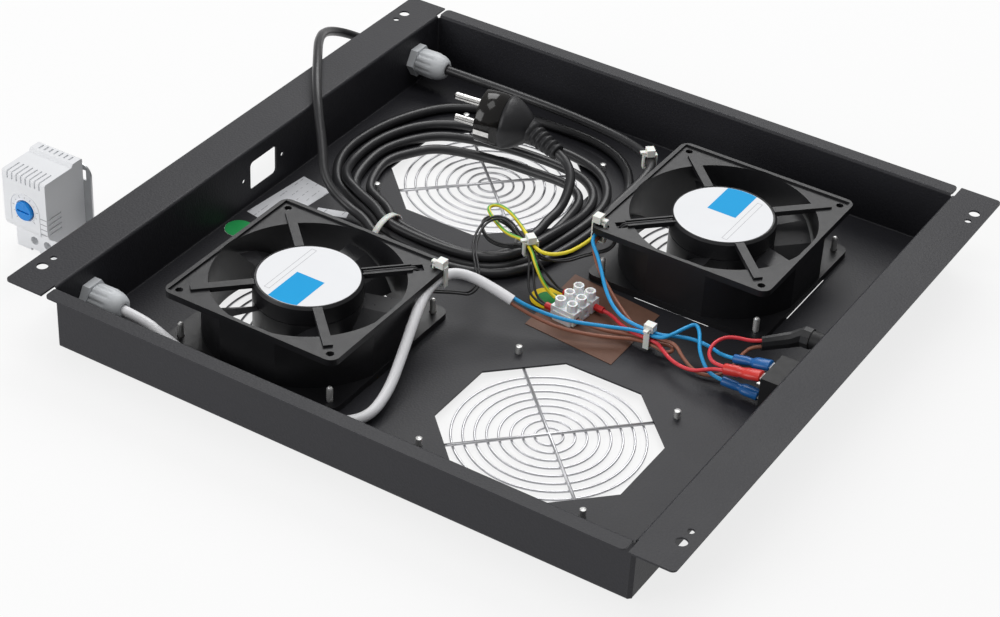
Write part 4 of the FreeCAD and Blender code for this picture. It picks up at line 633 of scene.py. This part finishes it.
# ---------------------------------------------------------------- fan labels
# White film discs in the motor housings' recesses, with a plain blue field and a thin grey frame
# where the maker's words would stand.
label_radius = 0.0302
label_blue = (0.003, 0.34, 0.72)
label_film, film_shader, film_place = finish(
    "label_film", (0.80, 0.81, 0.83), Roughness=0.38, Specular_IOR_Level=0.2
)
mottle(film_shader, film_place, 40.0, (0.78, 0.79, 0.81), (0.83, 0.84, 0.86))
bumped(film_shader, noise(film_place, 120.0), 0.0002, 0.1)
blue_ink, blue_shader, blue_place = finish("blue_ink", label_blue, Roughness=0.45, Specular_IOR_Level=0.08)
mottle(blue_shader, blue_place, 50.0, label_blue, (0.006, 0.37, 0.76))
# Grey ink: print on the labels' frames and the dial's ticks, and also the painted shade of the thermostat's
# grooves.
grey_ink_and_groove_shade, grey_shader, grey_place = finish("grey_ink_and_groove_shade", (0.34, 0.34, 0.36), Roughness=0.45)
wear(grey_shader, grey_place, 300.0, 0.1, 0.4)


def disc_part(limit, low_x, high_x, low_y, high_y, steps=14):
    """Outline of the part of a disc between two upright lines, in metres about its centre."""
    points = []
    for index in range(steps + 1):
        x = low_x + (high_x - low_x) * index / steps
        points.append((x, max(low_y, -math.sqrt(limit * limit - x * x))))
    for index in range(steps + 1):
        x = high_x - (high_x - low_x) * index / steps
        points.append((x, min(high_y, math.sqrt(limit * limit - x * x))))
    return points


def printed(points, faces, outline, centre, turned, level):
    """Add one flat printed shape; turned is 1 or -1 for half a turn."""
    first = len(points)
    for x, y in outline:
        points.append(Vector((centre[0] + x * turned, centre[1] + y * turned, level)))
    faces.append(tuple(range(first, first + len(outline))))


def frame_lines(low_x, low_y, high_x, high_y, line):
    """Four thin strips round a rectangle."""
    return [
        [(low_x, low_y), (high_x, low_y), (high_x, low_y + line), (low_x, low_y + line)],
        [(low_x, high_y - line), (high_x, high_y - line), (high_x, high_y), (low_x, high_y)],
        [(low_x, low_y), (low_x + line, low_y), (low_x + line, high_y), (low_x, high_y)],
        [(high_x - line, low_y), (high_x, low_y), (high_x, high_y), (high_x - line, high_y)],
    ]


def film_discs(name, centres, radius, thickness, material, sides):
    """Round labels as one piece, each standing on its centre."""
    points, faces = [], []
    for centre in centres:
        lathe(points, faces, [(radius, 0), (radius, thickness)], centre, up, sides)
    return bare_mesh(name, points, faces, material, False)


label_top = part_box("fan_labels")[1][2]
label_sunk = 0.0003
label_film_thickness = 0.00025
print_line = 0.00025
ink_level = label_top - 0.00002
blue_inset = 0.0002
blue_left = -0.0079
blue_right = 0.0114
blue_top = -0.0006
blue_outline = disc_part(label_radius - blue_inset, blue_left, blue_right, -label_radius, blue_top)
frame_box = (-0.0148, -0.0235, -0.0112, 0.0235)
disc_centres = []
blue_points, blue_faces = [], []
grey_points, grey_faces = [], []
for fan, turned in (("front_fan_rotor", 1), ("rear_fan_rotor", -1)):
    centre = middle(fan)
    centre.z = label_top - label_sunk
    disc_centres.append(centre)
    printed(blue_points, blue_faces, blue_outline, centre, turned, ink_level)
    for strip in frame_lines(*frame_box, print_line):
        printed(grey_points, grey_faces, strip, centre, turned, ink_level)
discs = film_discs("label_discs", disc_centres, label_radius, label_film_thickness, label_film, 64)
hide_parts("fan_labels")
blue_fields = bare_mesh("label_fields", blue_points, blue_faces, blue_ink, False)
grey_frames = bare_mesh("label_frames", grey_points, grey_faces, grey_ink_and_groove_shade, False)
for piece in (discs, blue_fields, grey_frames):
    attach(piece, "tray_assembly")


# ---------------------------------------------------------------- cable glands
# Light grey nylon glands in the left wall: hexagon against the wall, domed nut with grip ribs
# over a rubber seal, and a lock nut outside.
gland_grey = moulding("gland_nylon", (0.58, 0.60, 0.62), (0.64, 0.66, 0.68), 0.42, 700.0, 0.00015)
seal_black = moulding("gland_seal", (0.02, 0.02, 0.02), (0.03, 0.03, 0.03), 0.6, 900.0, 0.0001)
dress(gland_grey, "front_gland_body", "back_gland_body", "gland_lock_nuts")
dress(seal_black, "gland_seals")
dome_ribs = 12
rib_steps = 6
groove_steps = 2
groove_depth = 0.0006
mouth_gap = 0.0002
dome_profile = [(0.0, 0.93, 1), (0.06, 0.985, 1), (0.55, 1.0, 1), (0.60, 0.965, 0), (0.72, 0.93, 0),
                (0.84, 0.84, 0), (0.93, 0.72, 0), (0.985, 0.58, 0), (1.0, 0.50, 0)]
for gland_name, bore in (("front_gland_", lead_diameter / 2), ("back_gland_", mains_diameter / 2)):
    low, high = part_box(gland_name + "dome_nut")
    centre = middle(gland_name + "dome_nut")
    centre.x = low[0]
    length = high[0] - low[0]
    radius = (high[2] - low[2]) / 2
    rows = [(share * length, radius * width, ribbed) for share, width, ribbed in dome_profile]
    rows += [(length, bore + 2 * mouth_gap, 0), (length * 0.9, bore + mouth_gap, 0)]
    points, faces = [], []
    around = dome_ribs * rib_steps
    for distance, width, ribbed in rows:
        for corner in range(around):
            angle = 2 * math.pi * corner / around
            groove = groove_depth if ribbed and corner % rib_steps < groove_steps else 0.0
            points.append(centre + Vector((distance, math.cos(angle) * (width - groove),
                                           math.sin(angle) * (width - groove))))
    skin(faces, 0, len(rows), around, closed=False)
    dome = bare_mesh(gland_name + "dome", points, faces, gland_grey)
    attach(dome, "tray_assembly")
    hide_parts(gland_name + "dome_nut")


# ---------------------------------------------------------------- leads inside the tray
# The mains lead runs from the back gland under the rear fan's edge, and the thermostat's white
# lead along the front wall and up between the front fan's flanges; both are tied at fan corners.
inner_mains_points = route(
    (gland_end_x, 170, 20), (-147, 170, 20), (-124, 174.5, 17.4), (-80, 175.5, 16.2), (-44, 172, 16.4),
    (-19, 162.5, 20), (1, 148, 26), (16, 131.6, 30.6), (18.4, 112, 30.2), (18.4, 90, 29.6),
    (18.8, 68, 30), (26.9, 56.5, 31), (26.9, 41.5, 31),
)
inner_white_points = route(
    (gland_end_x, -170, 20), (-152, -170, 20), (-133, -171.2, 13.6), (-104, -174, 6.5), (-62, -176, 4.9),
    (-22, -174, 4.9), (-2, -160, 5.8), (-3, -136, 9.5), (-11.5, -108, 19), (-18.8, -83, 30.6),
    (-25.0, -63, 31.1), (-25.0, -45, 31.1), (-17, -37.6, 30.4), (-3, -33.2, 26), (13.6, -31.4, 20),
)
for piece_name, node, points, width, jacket, slot_name in (
    ("mains_lead", "inner_mains_lead", inner_mains_points, mains_diameter, black_pvc, "black_cord"),
    ("white_lead", "thermostat_lead", inner_white_points, lead_diameter, white_pvc, "white_cord"),
):
    lead = smooth_line(piece_name, [points], width, jacket, 16)
    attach(lead, "tray_assembly")
    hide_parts(node)


# ---------------------------------------------------------------- mains plug
# Straight two-pin earthed plug moulded on the cord in soft black PVC, nickel-plated pins and
# side contacts.
plug_black = moulding("plug_pvc", (0.016, 0.016, 0.018), (0.026, 0.026, 0.028), 0.44, 800.0, 0.00012)
plug_gloss = moulding("plug_face", (0.010, 0.009, 0.009), (0.016, 0.015, 0.014), 0.14, 260.0, 0.00010)
nickel, nickel_shader, nickel_place = finish("nickel_pins", (0.78, 0.77, 0.75), Metallic=1.0)
wear(nickel_shader, nickel_place, 400.0, 0.14, 0.14)
dress(nickel, "plug_pins")
plug_turn = up.rotation_difference(plug_forward)
plug_flat = 0.01622
face_rows = [
    (0.0155, 0.0155, -0.0032), (0.0160, 0.0160, -0.0004), (0.0168, 0.0168, 0.0),
    (0.0175, 0.0175, -0.0007), (0.0176, 0.0176, -0.0162),
]
shell_rows = [
    (0.0172, 0.0172, -0.0162), (0.0172, 0.0172, -0.0168), (0.0179, 0.0176, -0.0170),
    (0.0177, 0.0172, -0.0195), (0.0164, 0.0154, -0.0232), (0.0144, 0.0128, -0.0270),
    (0.0118, 0.0102, -0.0305), (0.0086, 0.0074, -0.0335), (0.0050, 0.0042, -0.0355),
    (0.0020, 0.0018, -0.0362),
]
relief_ring_count = 5
relief_ring_radius = 0.0072
relief_ring_taper = 0.00035
relief_ring_start = 0.0046
relief_ring_width = 0.0019
relief_ring_slope = 0.0002
relief_ring_pitch = 0.0042
relief_groove_depth = 0.0016


def oval_form(points, faces, rows, base, tilt, flat, sides=48):
    """Add oval rings along an axis, flattened at a given half-width."""
    first = len(points)
    for across, tall, distance in rows:
        for corner in range(sides):
            turn = 2 * math.pi * corner / sides
            y = max(-flat, min(flat, tall * math.sin(turn)))
            points.append(base + tilt @ Vector((across * math.cos(turn), y, distance)))
    skin(faces, first, len(rows), sides)


face_points, face_faces = [], []
oval_form(face_points, face_faces, face_rows, plug_face, plug_turn, plug_flat)
plug_front = bare_mesh("plug_face", face_points, face_faces, plug_gloss)
shell_points, shell_faces = [], []
oval_form(shell_points, shell_faces, shell_rows, plug_face, plug_turn, plug_flat)
relief_rows = [(0.0050, -0.0100), (0.0078, -0.0070), (0.0082, -0.0020), (0.0076, 0.0030)]
for index in range(relief_ring_count):
    ring = relief_ring_radius - index * relief_ring_taper
    groove = ring - relief_groove_depth
    start = relief_ring_start + index * relief_ring_pitch
    fall = start + relief_ring_width
    end = start + relief_ring_pitch - relief_ring_slope
    relief_rows += [(ring, start), (ring, fall), (groove, fall + relief_ring_slope), (groove, end)]
relief_rows += [(0.0056, 0.0258), (0.0053, 0.0278), (0.0046, relief_length)]
lathe(shell_points, shell_faces, relief_rows, plug_tail, relief_back, 32)
plug_shell = bare_mesh("plug_shell", shell_points, shell_faces, plug_black)
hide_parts("plug_body")
for piece in (plug_front, plug_shell):
    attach(piece, "tray_assembly")


# ---------------------------------------------------------------- cable ties
# Natural nylon ties, milky and a little glossy, with square ratchet heads.
tie_milk, tie_shader, tie_place = finish(
    "natural_nylon", (0.80, 0.81, 0.77), Subsurface_Weight=0.15, Subsurface_Scale=0.002)
mottle(tie_shader, tie_place, 150.0, (0.78, 0.79, 0.74), (0.86, 0.87, 0.84))
wear(tie_shader, tie_place, 300.0, 0.15, 0.28)
dress(tie_milk, "cable_ties")
band_middle = at(-100.7, 5.9, 3.0)
band_half_width = 0.0019
band_reach = 0.0157
band_rise = 0.0108
band_thickness = 0.0011
band_foot = 0.0014
band_past = 0.08
band_steps = 28
band_points, band_faces = [], []
for index in range(band_steps + 1):
    turn = math.pi * (index / band_steps * (1 + 2 * band_past) - band_past)
    for across in (-band_half_width, band_half_width):
        for grown in (0.0, band_thickness):
            band_points.append(band_middle + Vector((
                across, math.cos(turn) * (band_reach - band_thickness + grown),
                max(-band_foot, math.sin(turn) * (band_rise - band_thickness + grown)),
            )))
for index in range(band_steps):
    low = index * 4
    for first, second in ((0, 1), (1, 3), (3, 2), (2, 0)):
        band_faces.append((low + first, low + second, low + 4 + second, low + 4 + first))
band = bare_mesh("coil_band", band_points, band_faces, tie_milk)
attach(band, "tray_assembly")
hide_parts("coil_tie")


# ---------------------------------------------------------------- terminal block and its sheet
# Three-pole screw block in milky polyamide with tinned brass clamps, red insulated ferrules, on a
# four-sided sheet of brown pressed board.
block_milk, block_shader, block_place = finish(
    "block_polyamide", (0.80, 0.83, 0.85), Subsurface_Weight=0.2, Subsurface_Scale=0.002)
mottle(block_shader, block_place, 120.0, (0.84, 0.86, 0.87), (0.90, 0.91, 0.92))
wear(block_shader, block_place, 300.0, 0.12, 0.30)
brass, brass_shader, brass_place = finish("clamp_brass", (0.80, 0.80, 0.78), Metallic=0.35)
wear(brass_shader, brass_place, 500.0, 0.2, 0.22)
ferrule_red = moulding("ferrule_red", (0.60, 0.02, 0.02), (0.66, 0.03, 0.03), 0.35, 900.0, 0.00005)
board, board_shader, board_place = finish("pressed_board", (0.11, 0.058, 0.042), Specular_IOR_Level=0.3)
mottle(board_shader, board_place, 260.0, (0.135, 0.068, 0.046), (0.185, 0.095, 0.065), 6.0)
wear(board_shader, board_place, 90.0, 0.2, 0.5)
bumped(board_shader, noise(board_place, 1400.0, 5.0), 0.0002, 0.5)
dress(block_milk, "terminal_block")
dress(brass, "terminal_screws")
dress(ferrule_red, "ferrules")
dress(board, "insulating_sheet")


# ---------------------------------------------------------------- labels on the floor
# A rating plate and a small label of white film by the left wall, a green round sticker, and
# the yellow ring with a green centre that marks the earth.
plate_white, plate_shader, plate_place = finish("plate_film", (0.72, 0.73, 0.74), Roughness=0.4)
plate_axes = plate_place.axis(0)
line_wave = plate_axes.maths("SINE", plate_axes * 1150.0)
line_mask = (line_wave > 0.93) * (noise(plate_place, 260.0, 1.0) > 0.52)
feed(plate_shader, "Base Color", line_mask.mixed((0.72, 0.73, 0.76), (0.40, 0.40, 0.43)))
dress(plate_white, "floor_labels")
round_label_middle = at(-177.7, -42.1, 1.42)
round_label_radius = 0.0089
film_thickness = 0.0001
label_green, green_shader, green_place = finish(
    "green_film", (0.02, 0.34, 0.09), Roughness=0.45, Specular_IOR_Level=0.15
)
mottle(green_shader, green_place, 80.0, (0.018, 0.32, 0.08), (0.03, 0.38, 0.11))
green_label = film_discs(
    "green_label", [round_label_middle], round_label_radius, film_thickness, label_green, 40
)
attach(green_label, "tray_assembly")
earth_middle = at(16.8, 5.5, 1.75)
earth_radius = 0.011
earth_inner = 0.0068
earth_ring = (0.86, 0.62, 0.0)
earth_yellow, earth_shader, earth_place = finish(
    "earth_film", earth_ring, Roughness=0.5, Specular_IOR_Level=0.12
)
earth_offset = earth_place.node(
    "ShaderNodeVectorMath", {"operation": "DISTANCE"}, {0: earth_place, 1: tuple(earth_middle)}, 1
)
feed(earth_shader, "Base Color", (earth_offset < earth_inner).mixed(earth_ring, (0.02, 0.26, 0.06)))
earth_disc = film_discs("earth_disc", [earth_middle], earth_radius, film_thickness, earth_yellow, 48)
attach(earth_disc, "tray_assembly")
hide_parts("earth_sticker")


# ---------------------------------------------------------------- switch, connectors and fuse
# Black rocker switch snapped into the right wall, tinned blades with insulated push-on sockets,
# a screw-cap fuse holder with a glass fuse, and a shrunk sleeve over its wires.
switch_black = moulding(
    "switch_moulding", (0.009, 0.009, 0.010), (0.014, 0.014, 0.015), 0.55, 1000.0, 0.00006
)
rocker_black = moulding(
    "rocker_moulding", (0.014, 0.014, 0.015), (0.020, 0.020, 0.022), 0.22, 700.0, 0.00004
)
socket_blue = moulding("socket_blue", (0.012, 0.105, 0.33), (0.016, 0.13, 0.39), 0.30, 600.0, 0.00006)
socket_red = moulding("socket_red", (0.62, 0.035, 0.03), (0.70, 0.05, 0.04), 0.30, 600.0, 0.00006)
shrink_black = moulding(
    "shrink_tube", (0.018, 0.018, 0.019), (0.028, 0.028, 0.030), 0.45, 500.0, 0.0002
)
fuse_glass, glass_shader, glass_place = finish(
    "fuse_glass", (0.85, 0.90, 0.90), Transmission_Weight=0.9, IOR=1.5)
wear(glass_shader, glass_place, 200.0, 0.06, 0.02)
dress(switch_black, "switch_body")
dress(rocker_black, "switch_rocker")
dress(brass, "switch_terminals")
socket_way = Vector((0.978, 0, 0.208)).normalized()
socket_flat = 0.0042
for piece_name, node, barrel, colour, slot_name, exits in (
    ("blue_sockets", "blue_connectors", 0.00275, socket_blue, "blue_sleeve",
     ((at(143.9, -12.5, 7.2), Vector((1, 0, 0))), (at(144.4, -0.5, 15.7), socket_way))),
    ("red_socket", "red_connector", 0.0034, socket_red, "red_sleeve",
     ((at(144.5, -12.5, 15.7), socket_way),)),
):
    rows = [
        (barrel - 0.0006, barrel - 0.0006, 0.0012), (barrel - 0.0005, barrel - 0.0005, 0.0),
        (barrel - 0.0001, barrel - 0.0001, 0.0002), (barrel, barrel, 0.0008), (barrel, barrel, 0.0088),
        (barrel - 0.0005, barrel - 0.0002, 0.0100), (barrel - 0.0006, barrel - 0.0001, 0.0118),
        (0.0028, 0.0040, 0.0136), (0.0030, 0.0043, 0.0146), (0.0030, 0.0043, 0.0232),
        (0.0027, 0.0040, 0.0238),
    ]
    points, faces = [], []
    for place, way in exits:
        oval_form(points, faces, rows, place, up.rotation_difference(way), socket_flat, 32)
    sockets = bare_mesh(piece_name, points, faces, colour)
    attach(sockets, "tray_assembly")
    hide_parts(node)
dress(switch_black, "fuse_holder", "fuse_cap")
dress(fuse_glass, "fuse_link")
dress(shrink_black, "heat_shrink_sleeve")


# ---------------------------------------------------------------- thermostat
# Light grey moulded housing with a dial face, blue slotted knob and white scale ring, clamp
# screws in their wells, on a zinc-plated mounting plate.
housing_grey = moulding(
    "housing_moulding", (0.74, 0.75, 0.77), (0.79, 0.80, 0.82), 0.45, 900.0, 0.00012
)
knob_blue = moulding("knob_moulding", (0.002, 0.20, 0.62), (0.004, 0.23, 0.68), 0.28, 600.0, 0.00004)
zinc_plate, plate_metal_shader, plate_metal_place = finish(
    "zinc_plate", (0.58, 0.59, 0.60), Metallic=1.0
)
wear(plate_metal_shader, plate_metal_place, 120.0, 0.25, 0.28, 5.0)
mottle(plate_metal_shader, plate_metal_place, 60.0, (0.50, 0.51, 0.52), (0.66, 0.67, 0.68))
dress(housing_grey, "thermostat_housing")
dress(knob_blue, "thermostat_knob")
dress(zinc_plate, "thermostat_bracket")
dress(zinc, "thermostat_terminals")
dial_low, dial_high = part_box("thermostat_knob")
dial_face_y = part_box("thermostat_housing")[0][1]
dial_centre = middle("thermostat_knob")
dial_centre.y = dial_face_y
dial_radius = (dial_high[0] - dial_low[0]) / 2
halo_white, halo_shader, halo_place = finish("dial_white", (0.90, 0.91, 0.93), Roughness=0.35)
wear(halo_shader, halo_place, 500.0, 0.1, 0.3)
halo_gap = 0.0011
halo_wire = 0.00045
halo_points, halo_faces = [], []
ring_of_wire(halo_points, halo_faces, Vector((0, 0, 0)), dial_radius + halo_gap, halo_wire, 48)
halo_points = [dial_centre + Vector((point[0], point[2] * 0.4 - 0.0001, point[1])) for point in halo_points]
halo = bare_mesh("dial_halo", halo_points, halo_faces, halo_white)
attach(halo, "tray_assembly")
print_lift = 0.00004
tick_count = 11
first_tick = -135
tick_step = 27
tick_gap = 0.0021
tick_half_width = 0.00022
long_tick = 0.0017
short_tick = 0.0009
# Four dark grey strips across the housing face where its grooves run: painted shade in the grooves, drawn
# flat.
groove_shade_count = 4
groove_shade_pitch = 0.0036
groove_shade_low = cad_box[0][2] + 0.024
groove_shade_left = 0.0114
groove_shade_right = 0.0164
groove_shade_half = 0.0003
ticks_and_shade_points, ticks_and_shade_faces = [], []
for index in range(tick_count):
    angle = math.radians(first_tick + tick_step * index)
    out = Vector((math.sin(angle), 0, math.cos(angle)))
    beside = Vector((out[2], 0, -out[0])) * tick_half_width
    length = long_tick if index % 2 == 0 else short_tick
    near = dial_centre + out * (dial_radius + tick_gap) - Vector((0, print_lift, 0))
    far = near + out * length
    first = len(ticks_and_shade_points)
    ticks_and_shade_points += [near - beside, near + beside, far + beside, far - beside]
    ticks_and_shade_faces.append((first, first + 1, first + 2, first + 3))
for index in range(groove_shade_count):
    level = groove_shade_low + index * groove_shade_pitch
    first = len(ticks_and_shade_points)
    for x, z in (
        (groove_shade_left, -groove_shade_half), (groove_shade_right, -groove_shade_half),
        (groove_shade_right, groove_shade_half), (groove_shade_left, groove_shade_half),
    ):
        ticks_and_shade_points.append(Vector((dial_centre[0] + x, dial_face_y - print_lift, level + z)))
    ticks_and_shade_faces.append((first, first + 1, first + 2, first + 3))
# The printed ticks and the painted shade of the grooves as one flat piece.
scale = bare_mesh("dial_ticks_and_groove_shade", ticks_and_shade_points, ticks_and_shade_faces, grey_ink_and_groove_shade, False)
panel_edge_width = 0.0007
panel_route = [
    (0.0110, -0.0150), (0.0110, -0.0020), (0.0106, 0.0042), (0.0076, 0.0090), (0.0020, 0.0114),
    (-0.0042, 0.0110), (-0.0092, 0.0078), (-0.0112, 0.0028), (-0.0112, -0.0030), (-0.0112, -0.0100),
]
panel_run = [dial_centre + Vector((x, 0, z)) for x, z in panel_route]
panel_edge = smooth_line("dial_panel_edge", [panel_run], panel_edge_width, housing_grey, 8)
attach(panel_edge, "tray_assembly")
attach(scale, "tray_assembly")


# ---------------------------------------------------------------- cores and fan leads
# PVC-insulated cores from the two jackets and black leads from the fans, gathered by two ties
# and led to the block, the switch and the fuse.
core_diameter = 0.0023
fan_lead_diameter = 0.0015
blue_core = soft_jacket("blue_core", (0.013, 0.32, 0.68), (0.02, 0.36, 0.74))
brown_core = soft_jacket("brown_core", (0.30, 0.115, 0.070), (0.35, 0.135, 0.085))
red_core = soft_jacket("red_core", (0.68, 0.035, 0.05), (0.74, 0.05, 0.065))
lead_core = soft_jacket("lead_core", (0.016, 0.016, 0.018), (0.026, 0.026, 0.028))
earth_core_yellow = (0.86, 0.72, 0.03)
earth_core, stripe_shader, stripe_place = finish("earth_core", earth_core_yellow, Roughness=0.4)
stripe_facing = stripe_place.node("ShaderNodeTexCoord", {}, {}, 1)
facing_x = stripe_facing.axis(0)
facing_z = stripe_facing.axis(2)
along_x = stripe_place.axis(0)
along_y = stripe_place.axis(1)
lay_angle = (along_x + along_y) * 60.0
facing_stripe = facing_x * along_x.maths("SINE", lay_angle) + facing_z * along_x.maths("COSINE", lay_angle)
feed(stripe_shader, "Base Color", (facing_stripe > 0.80).mixed(earth_core_yellow, (0.10, 0.42, 0.06)))
blue_runs = [
    [(14.1, -30.7, 21.5), (18.8, -30.2, 19.9), (29, -26, 15.5), (46, -21.5, 13), (68, -12.5, 13),
     (84, -5.6, 13.1), (97, -5.6, 13.1), (103, -4.5, 15.8), (108.5, 5, 18.6), (112, 13.5, 18.8),
     (117.5, 8, 17), (123, -3, 14.6), (130, -9.5, 10.8), (136.9, -12.5, 7.2), (150.7, -12.5, 7.2)],
    [(26.9, 41.5, 32.8), (26.9, 37.5, 32.8), (29.5, 33, 30.8), (38, 26.5, 27), (54, 9, 17.5),
     (70, -2, 14.5), (84, -2.4, 13.1), (97, -2.4, 13.1), (104, 1.8, 13.2), (115, 7.5, 12), (127, 6, 12),
     (137.6, -0.5, 14.2), (151.1, -0.5, 17.1)],
]
brown_runs = [
    [(13.1, -32.1, 18.5), (17.8, -31.5, 16.8), (29, -28, 11.5), (46, -24, 8), (68, -14.5, 6.6),
     (84, -5.6, 6.9), (97, -5.6, 6.9), (103.5, -8.2, 6.9), (107.5, -4, 7), (103.5, 0.2, 6.9),
     (97, -2.4, 6.9), (84, -2.4, 6.9), (74, -3.2, 5.2), (62, -7.8, 5.2), (50, -8.9, 5.6),
     (43.5, -8.2, 5.6)],
    [(28.4, 41.5, 30.1), (28.4, 37.5, 30.1), (30.5, 32.4, 27.4), (40, 23.5, 21.5), (60, 10.5, 14.4),
     (76, 1, 11.2), (84, -2.4, 10), (97, -2.4, 10), (107, -1.2, 10.8), (115.5, -6.8, 6.4),
     (126, -10.2, 3.4), (137, -7.6, 3.8), (142.6, 0, 7), (144.2, 9, 12), (146.3, 16.9, 14.3),
     (151.1, 20.5, 14.5)],
]
red_runs = [
    [(52.9, 8.9, 5.6), (58.8, 8.3, 5.6), (67, 2.5, 6.6), (78, -3.8, 8.9), (84, -5.6, 10),
     (97, -5.6, 10), (102, -9, 9.6), (113, -16, 9), (127, -19, 10.4), (135, -16, 13.2),
     (140.1, -14.1, 14.8), (151.1, -14.1, 17.1)],
    [(151.1, -10.9, 17.1), (138.6, -10.9, 14.4), (131.5, -8.8, 17), (129.5, 0, 19.4), (132.5, 9.5, 20),
     (139, 14.6, 19.2), (146.2, 16.9, 18.5), (150.9, 20.5, 18.7)],
]
earth_runs = [
    [(25.4, 41.5, 30.1), (25.4, 37.5, 30.1), (23, 32, 28), (18.5, 23, 25.6), (10, 15.6, 24.8),
     (1.7, 14.5, 25.8), (-7.7, 22, 25.8), (-20, 31.6, 26), (-33, 40, 26.5), (-43, 42.5, 26.5),
     (-47, 36, 26.2), (-38, 28, 26), (-22, 18.4, 25.8), (-9.7, 19.5, 25.8), (-0.3, 12, 25.8),
     (6.5, 5.8, 22), (14.5, 2.9, 12.2), (23.1, 3, 5.6), (30.5, 2.2, 5.6)],
]
front_lead_runs = [
    [(-59.2, -79.7, 38), (-41.5, -61.9, 38), (-36.5, -56.9, 37.8), (-35.3, -55.8, 29.7),
     (-33, -53.4, 20.7), (-25.6, -46, 19.2), (-19.9, -40.3, 17.8), (-13.2, -36.6, 17.2),
     (-12.6, -29, 19.6), (-20, -19, 23.4), (-31.4, -6, 26.4), (-38, 12, 28.6), (-36.4, 25, 30),
     (-27, 28.6, 30), (-17, 24.8, 26.3), (-8.5, 21.7, 22.9), (1.2, 13.9, 22.9), (7.6, 10.6, 19),
     (14, 12, 11), (19.1, 13.3, 5.6), (24.1, 12.8, 5.6)],
    [(-58, -80.9, 38), (-40.2, -63.2, 38), (-35.2, -58.2, 37.8), (-34.1, -57, 29.7),
     (-31.7, -54.7, 20.7), (-24.3, -47.3, 19.2), (-18.6, -41.6, 17.8), (-11, -37.7, 17.2),
     (-10.4, -29, 19.6), (-17.8, -19, 23.4), (-29.2, -6, 26.4), (-35.8, 12, 28.6), (-34.2, 22.8, 30),
     (-27, 26.4, 30), (-17, 22.6, 26.3), (-9.6, 20.4, 22.9), (0.2, 12.6, 22.9), (6.4, 4.4, 17.6),
     (11.5, -2.6, 10), (17.3, -4.6, 5.6), (22.2, -5.1, 5.6)],
]
rear_lead_runs = [
    [(61.2, 73.7, 38), (43.5, 55.9, 38), (38.5, 50.9, 37.8), (37.3, 49.8, 29.7), (35, 47.4, 20.7),
     (27.6, 40, 19.2), (21.9, 34.3, 17.8), (17.4, 25.1, 17.5), (10.1, 16.1, 20.6), (2.3, 15.3, 22.9),
     (-7.5, 23.1, 22.9), (-18, 27, 22.6), (-33, 35, 22.6), (-44, 34.4, 22.2), (-45, 25.6, 21.6),
     (-33, 14, 20.8), (-19, 13.4, 21.4), (-10.7, 19, 22.9), (-0.9, 11.2, 22.9), (4, 2.6, 16.2),
     (9, -5, 9), (17.1, -6.3, 5.6), (22, -6.8, 5.6)],
    [(60, 74.9, 38), (42.2, 57.2, 38), (37.2, 52.2, 37.8), (36.1, 51, 29.7), (33.7, 48.7, 20.7),
     (26.3, 41.3, 19.2), (20.6, 35.6, 17.8), (15.6, 26.9, 17.5), (8.3, 17.9, 18.6), (1.2, 13.9, 21.1),
     (-8.5, 21.7, 21.1), (-18, 27, 20.6), (-33, 35, 20.6), (-44, 34.4, 20.2), (-45, 25.6, 19.6),
     (-33, 14, 18.8), (-19, 13.4, 19.4), (-9.6, 20.4, 21.1), (0.2, 12.6, 21.1), (6.2, 8.6, 16),
     (13, 9, 9), (19, 11.6, 5.6), (23.9, 11.1, 5.6)],
]
for node, runs, width, jacket, slot_name in (
    ("blue_wires", blue_runs, core_diameter, blue_core, "blue_core"),
    ("brown_wires", brown_runs, core_diameter, brown_core, "brown_core"),
    ("red_wires", red_runs, core_diameter, red_core, "red_core"),
    ("earth_wire", earth_runs, core_diameter, earth_core, "earth_core"),
    ("front_fan_leads", front_lead_runs, fan_lead_diameter, lead_core, "lead_core"),
    ("rear_fan_leads", rear_lead_runs, fan_lead_diameter, lead_core, "lead_core"),
):
    wires = smooth_line(node + "_pvc", [route(*run) for run in runs], width, jacket)
    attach(wires, "tray_assembly")
    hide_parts(node)
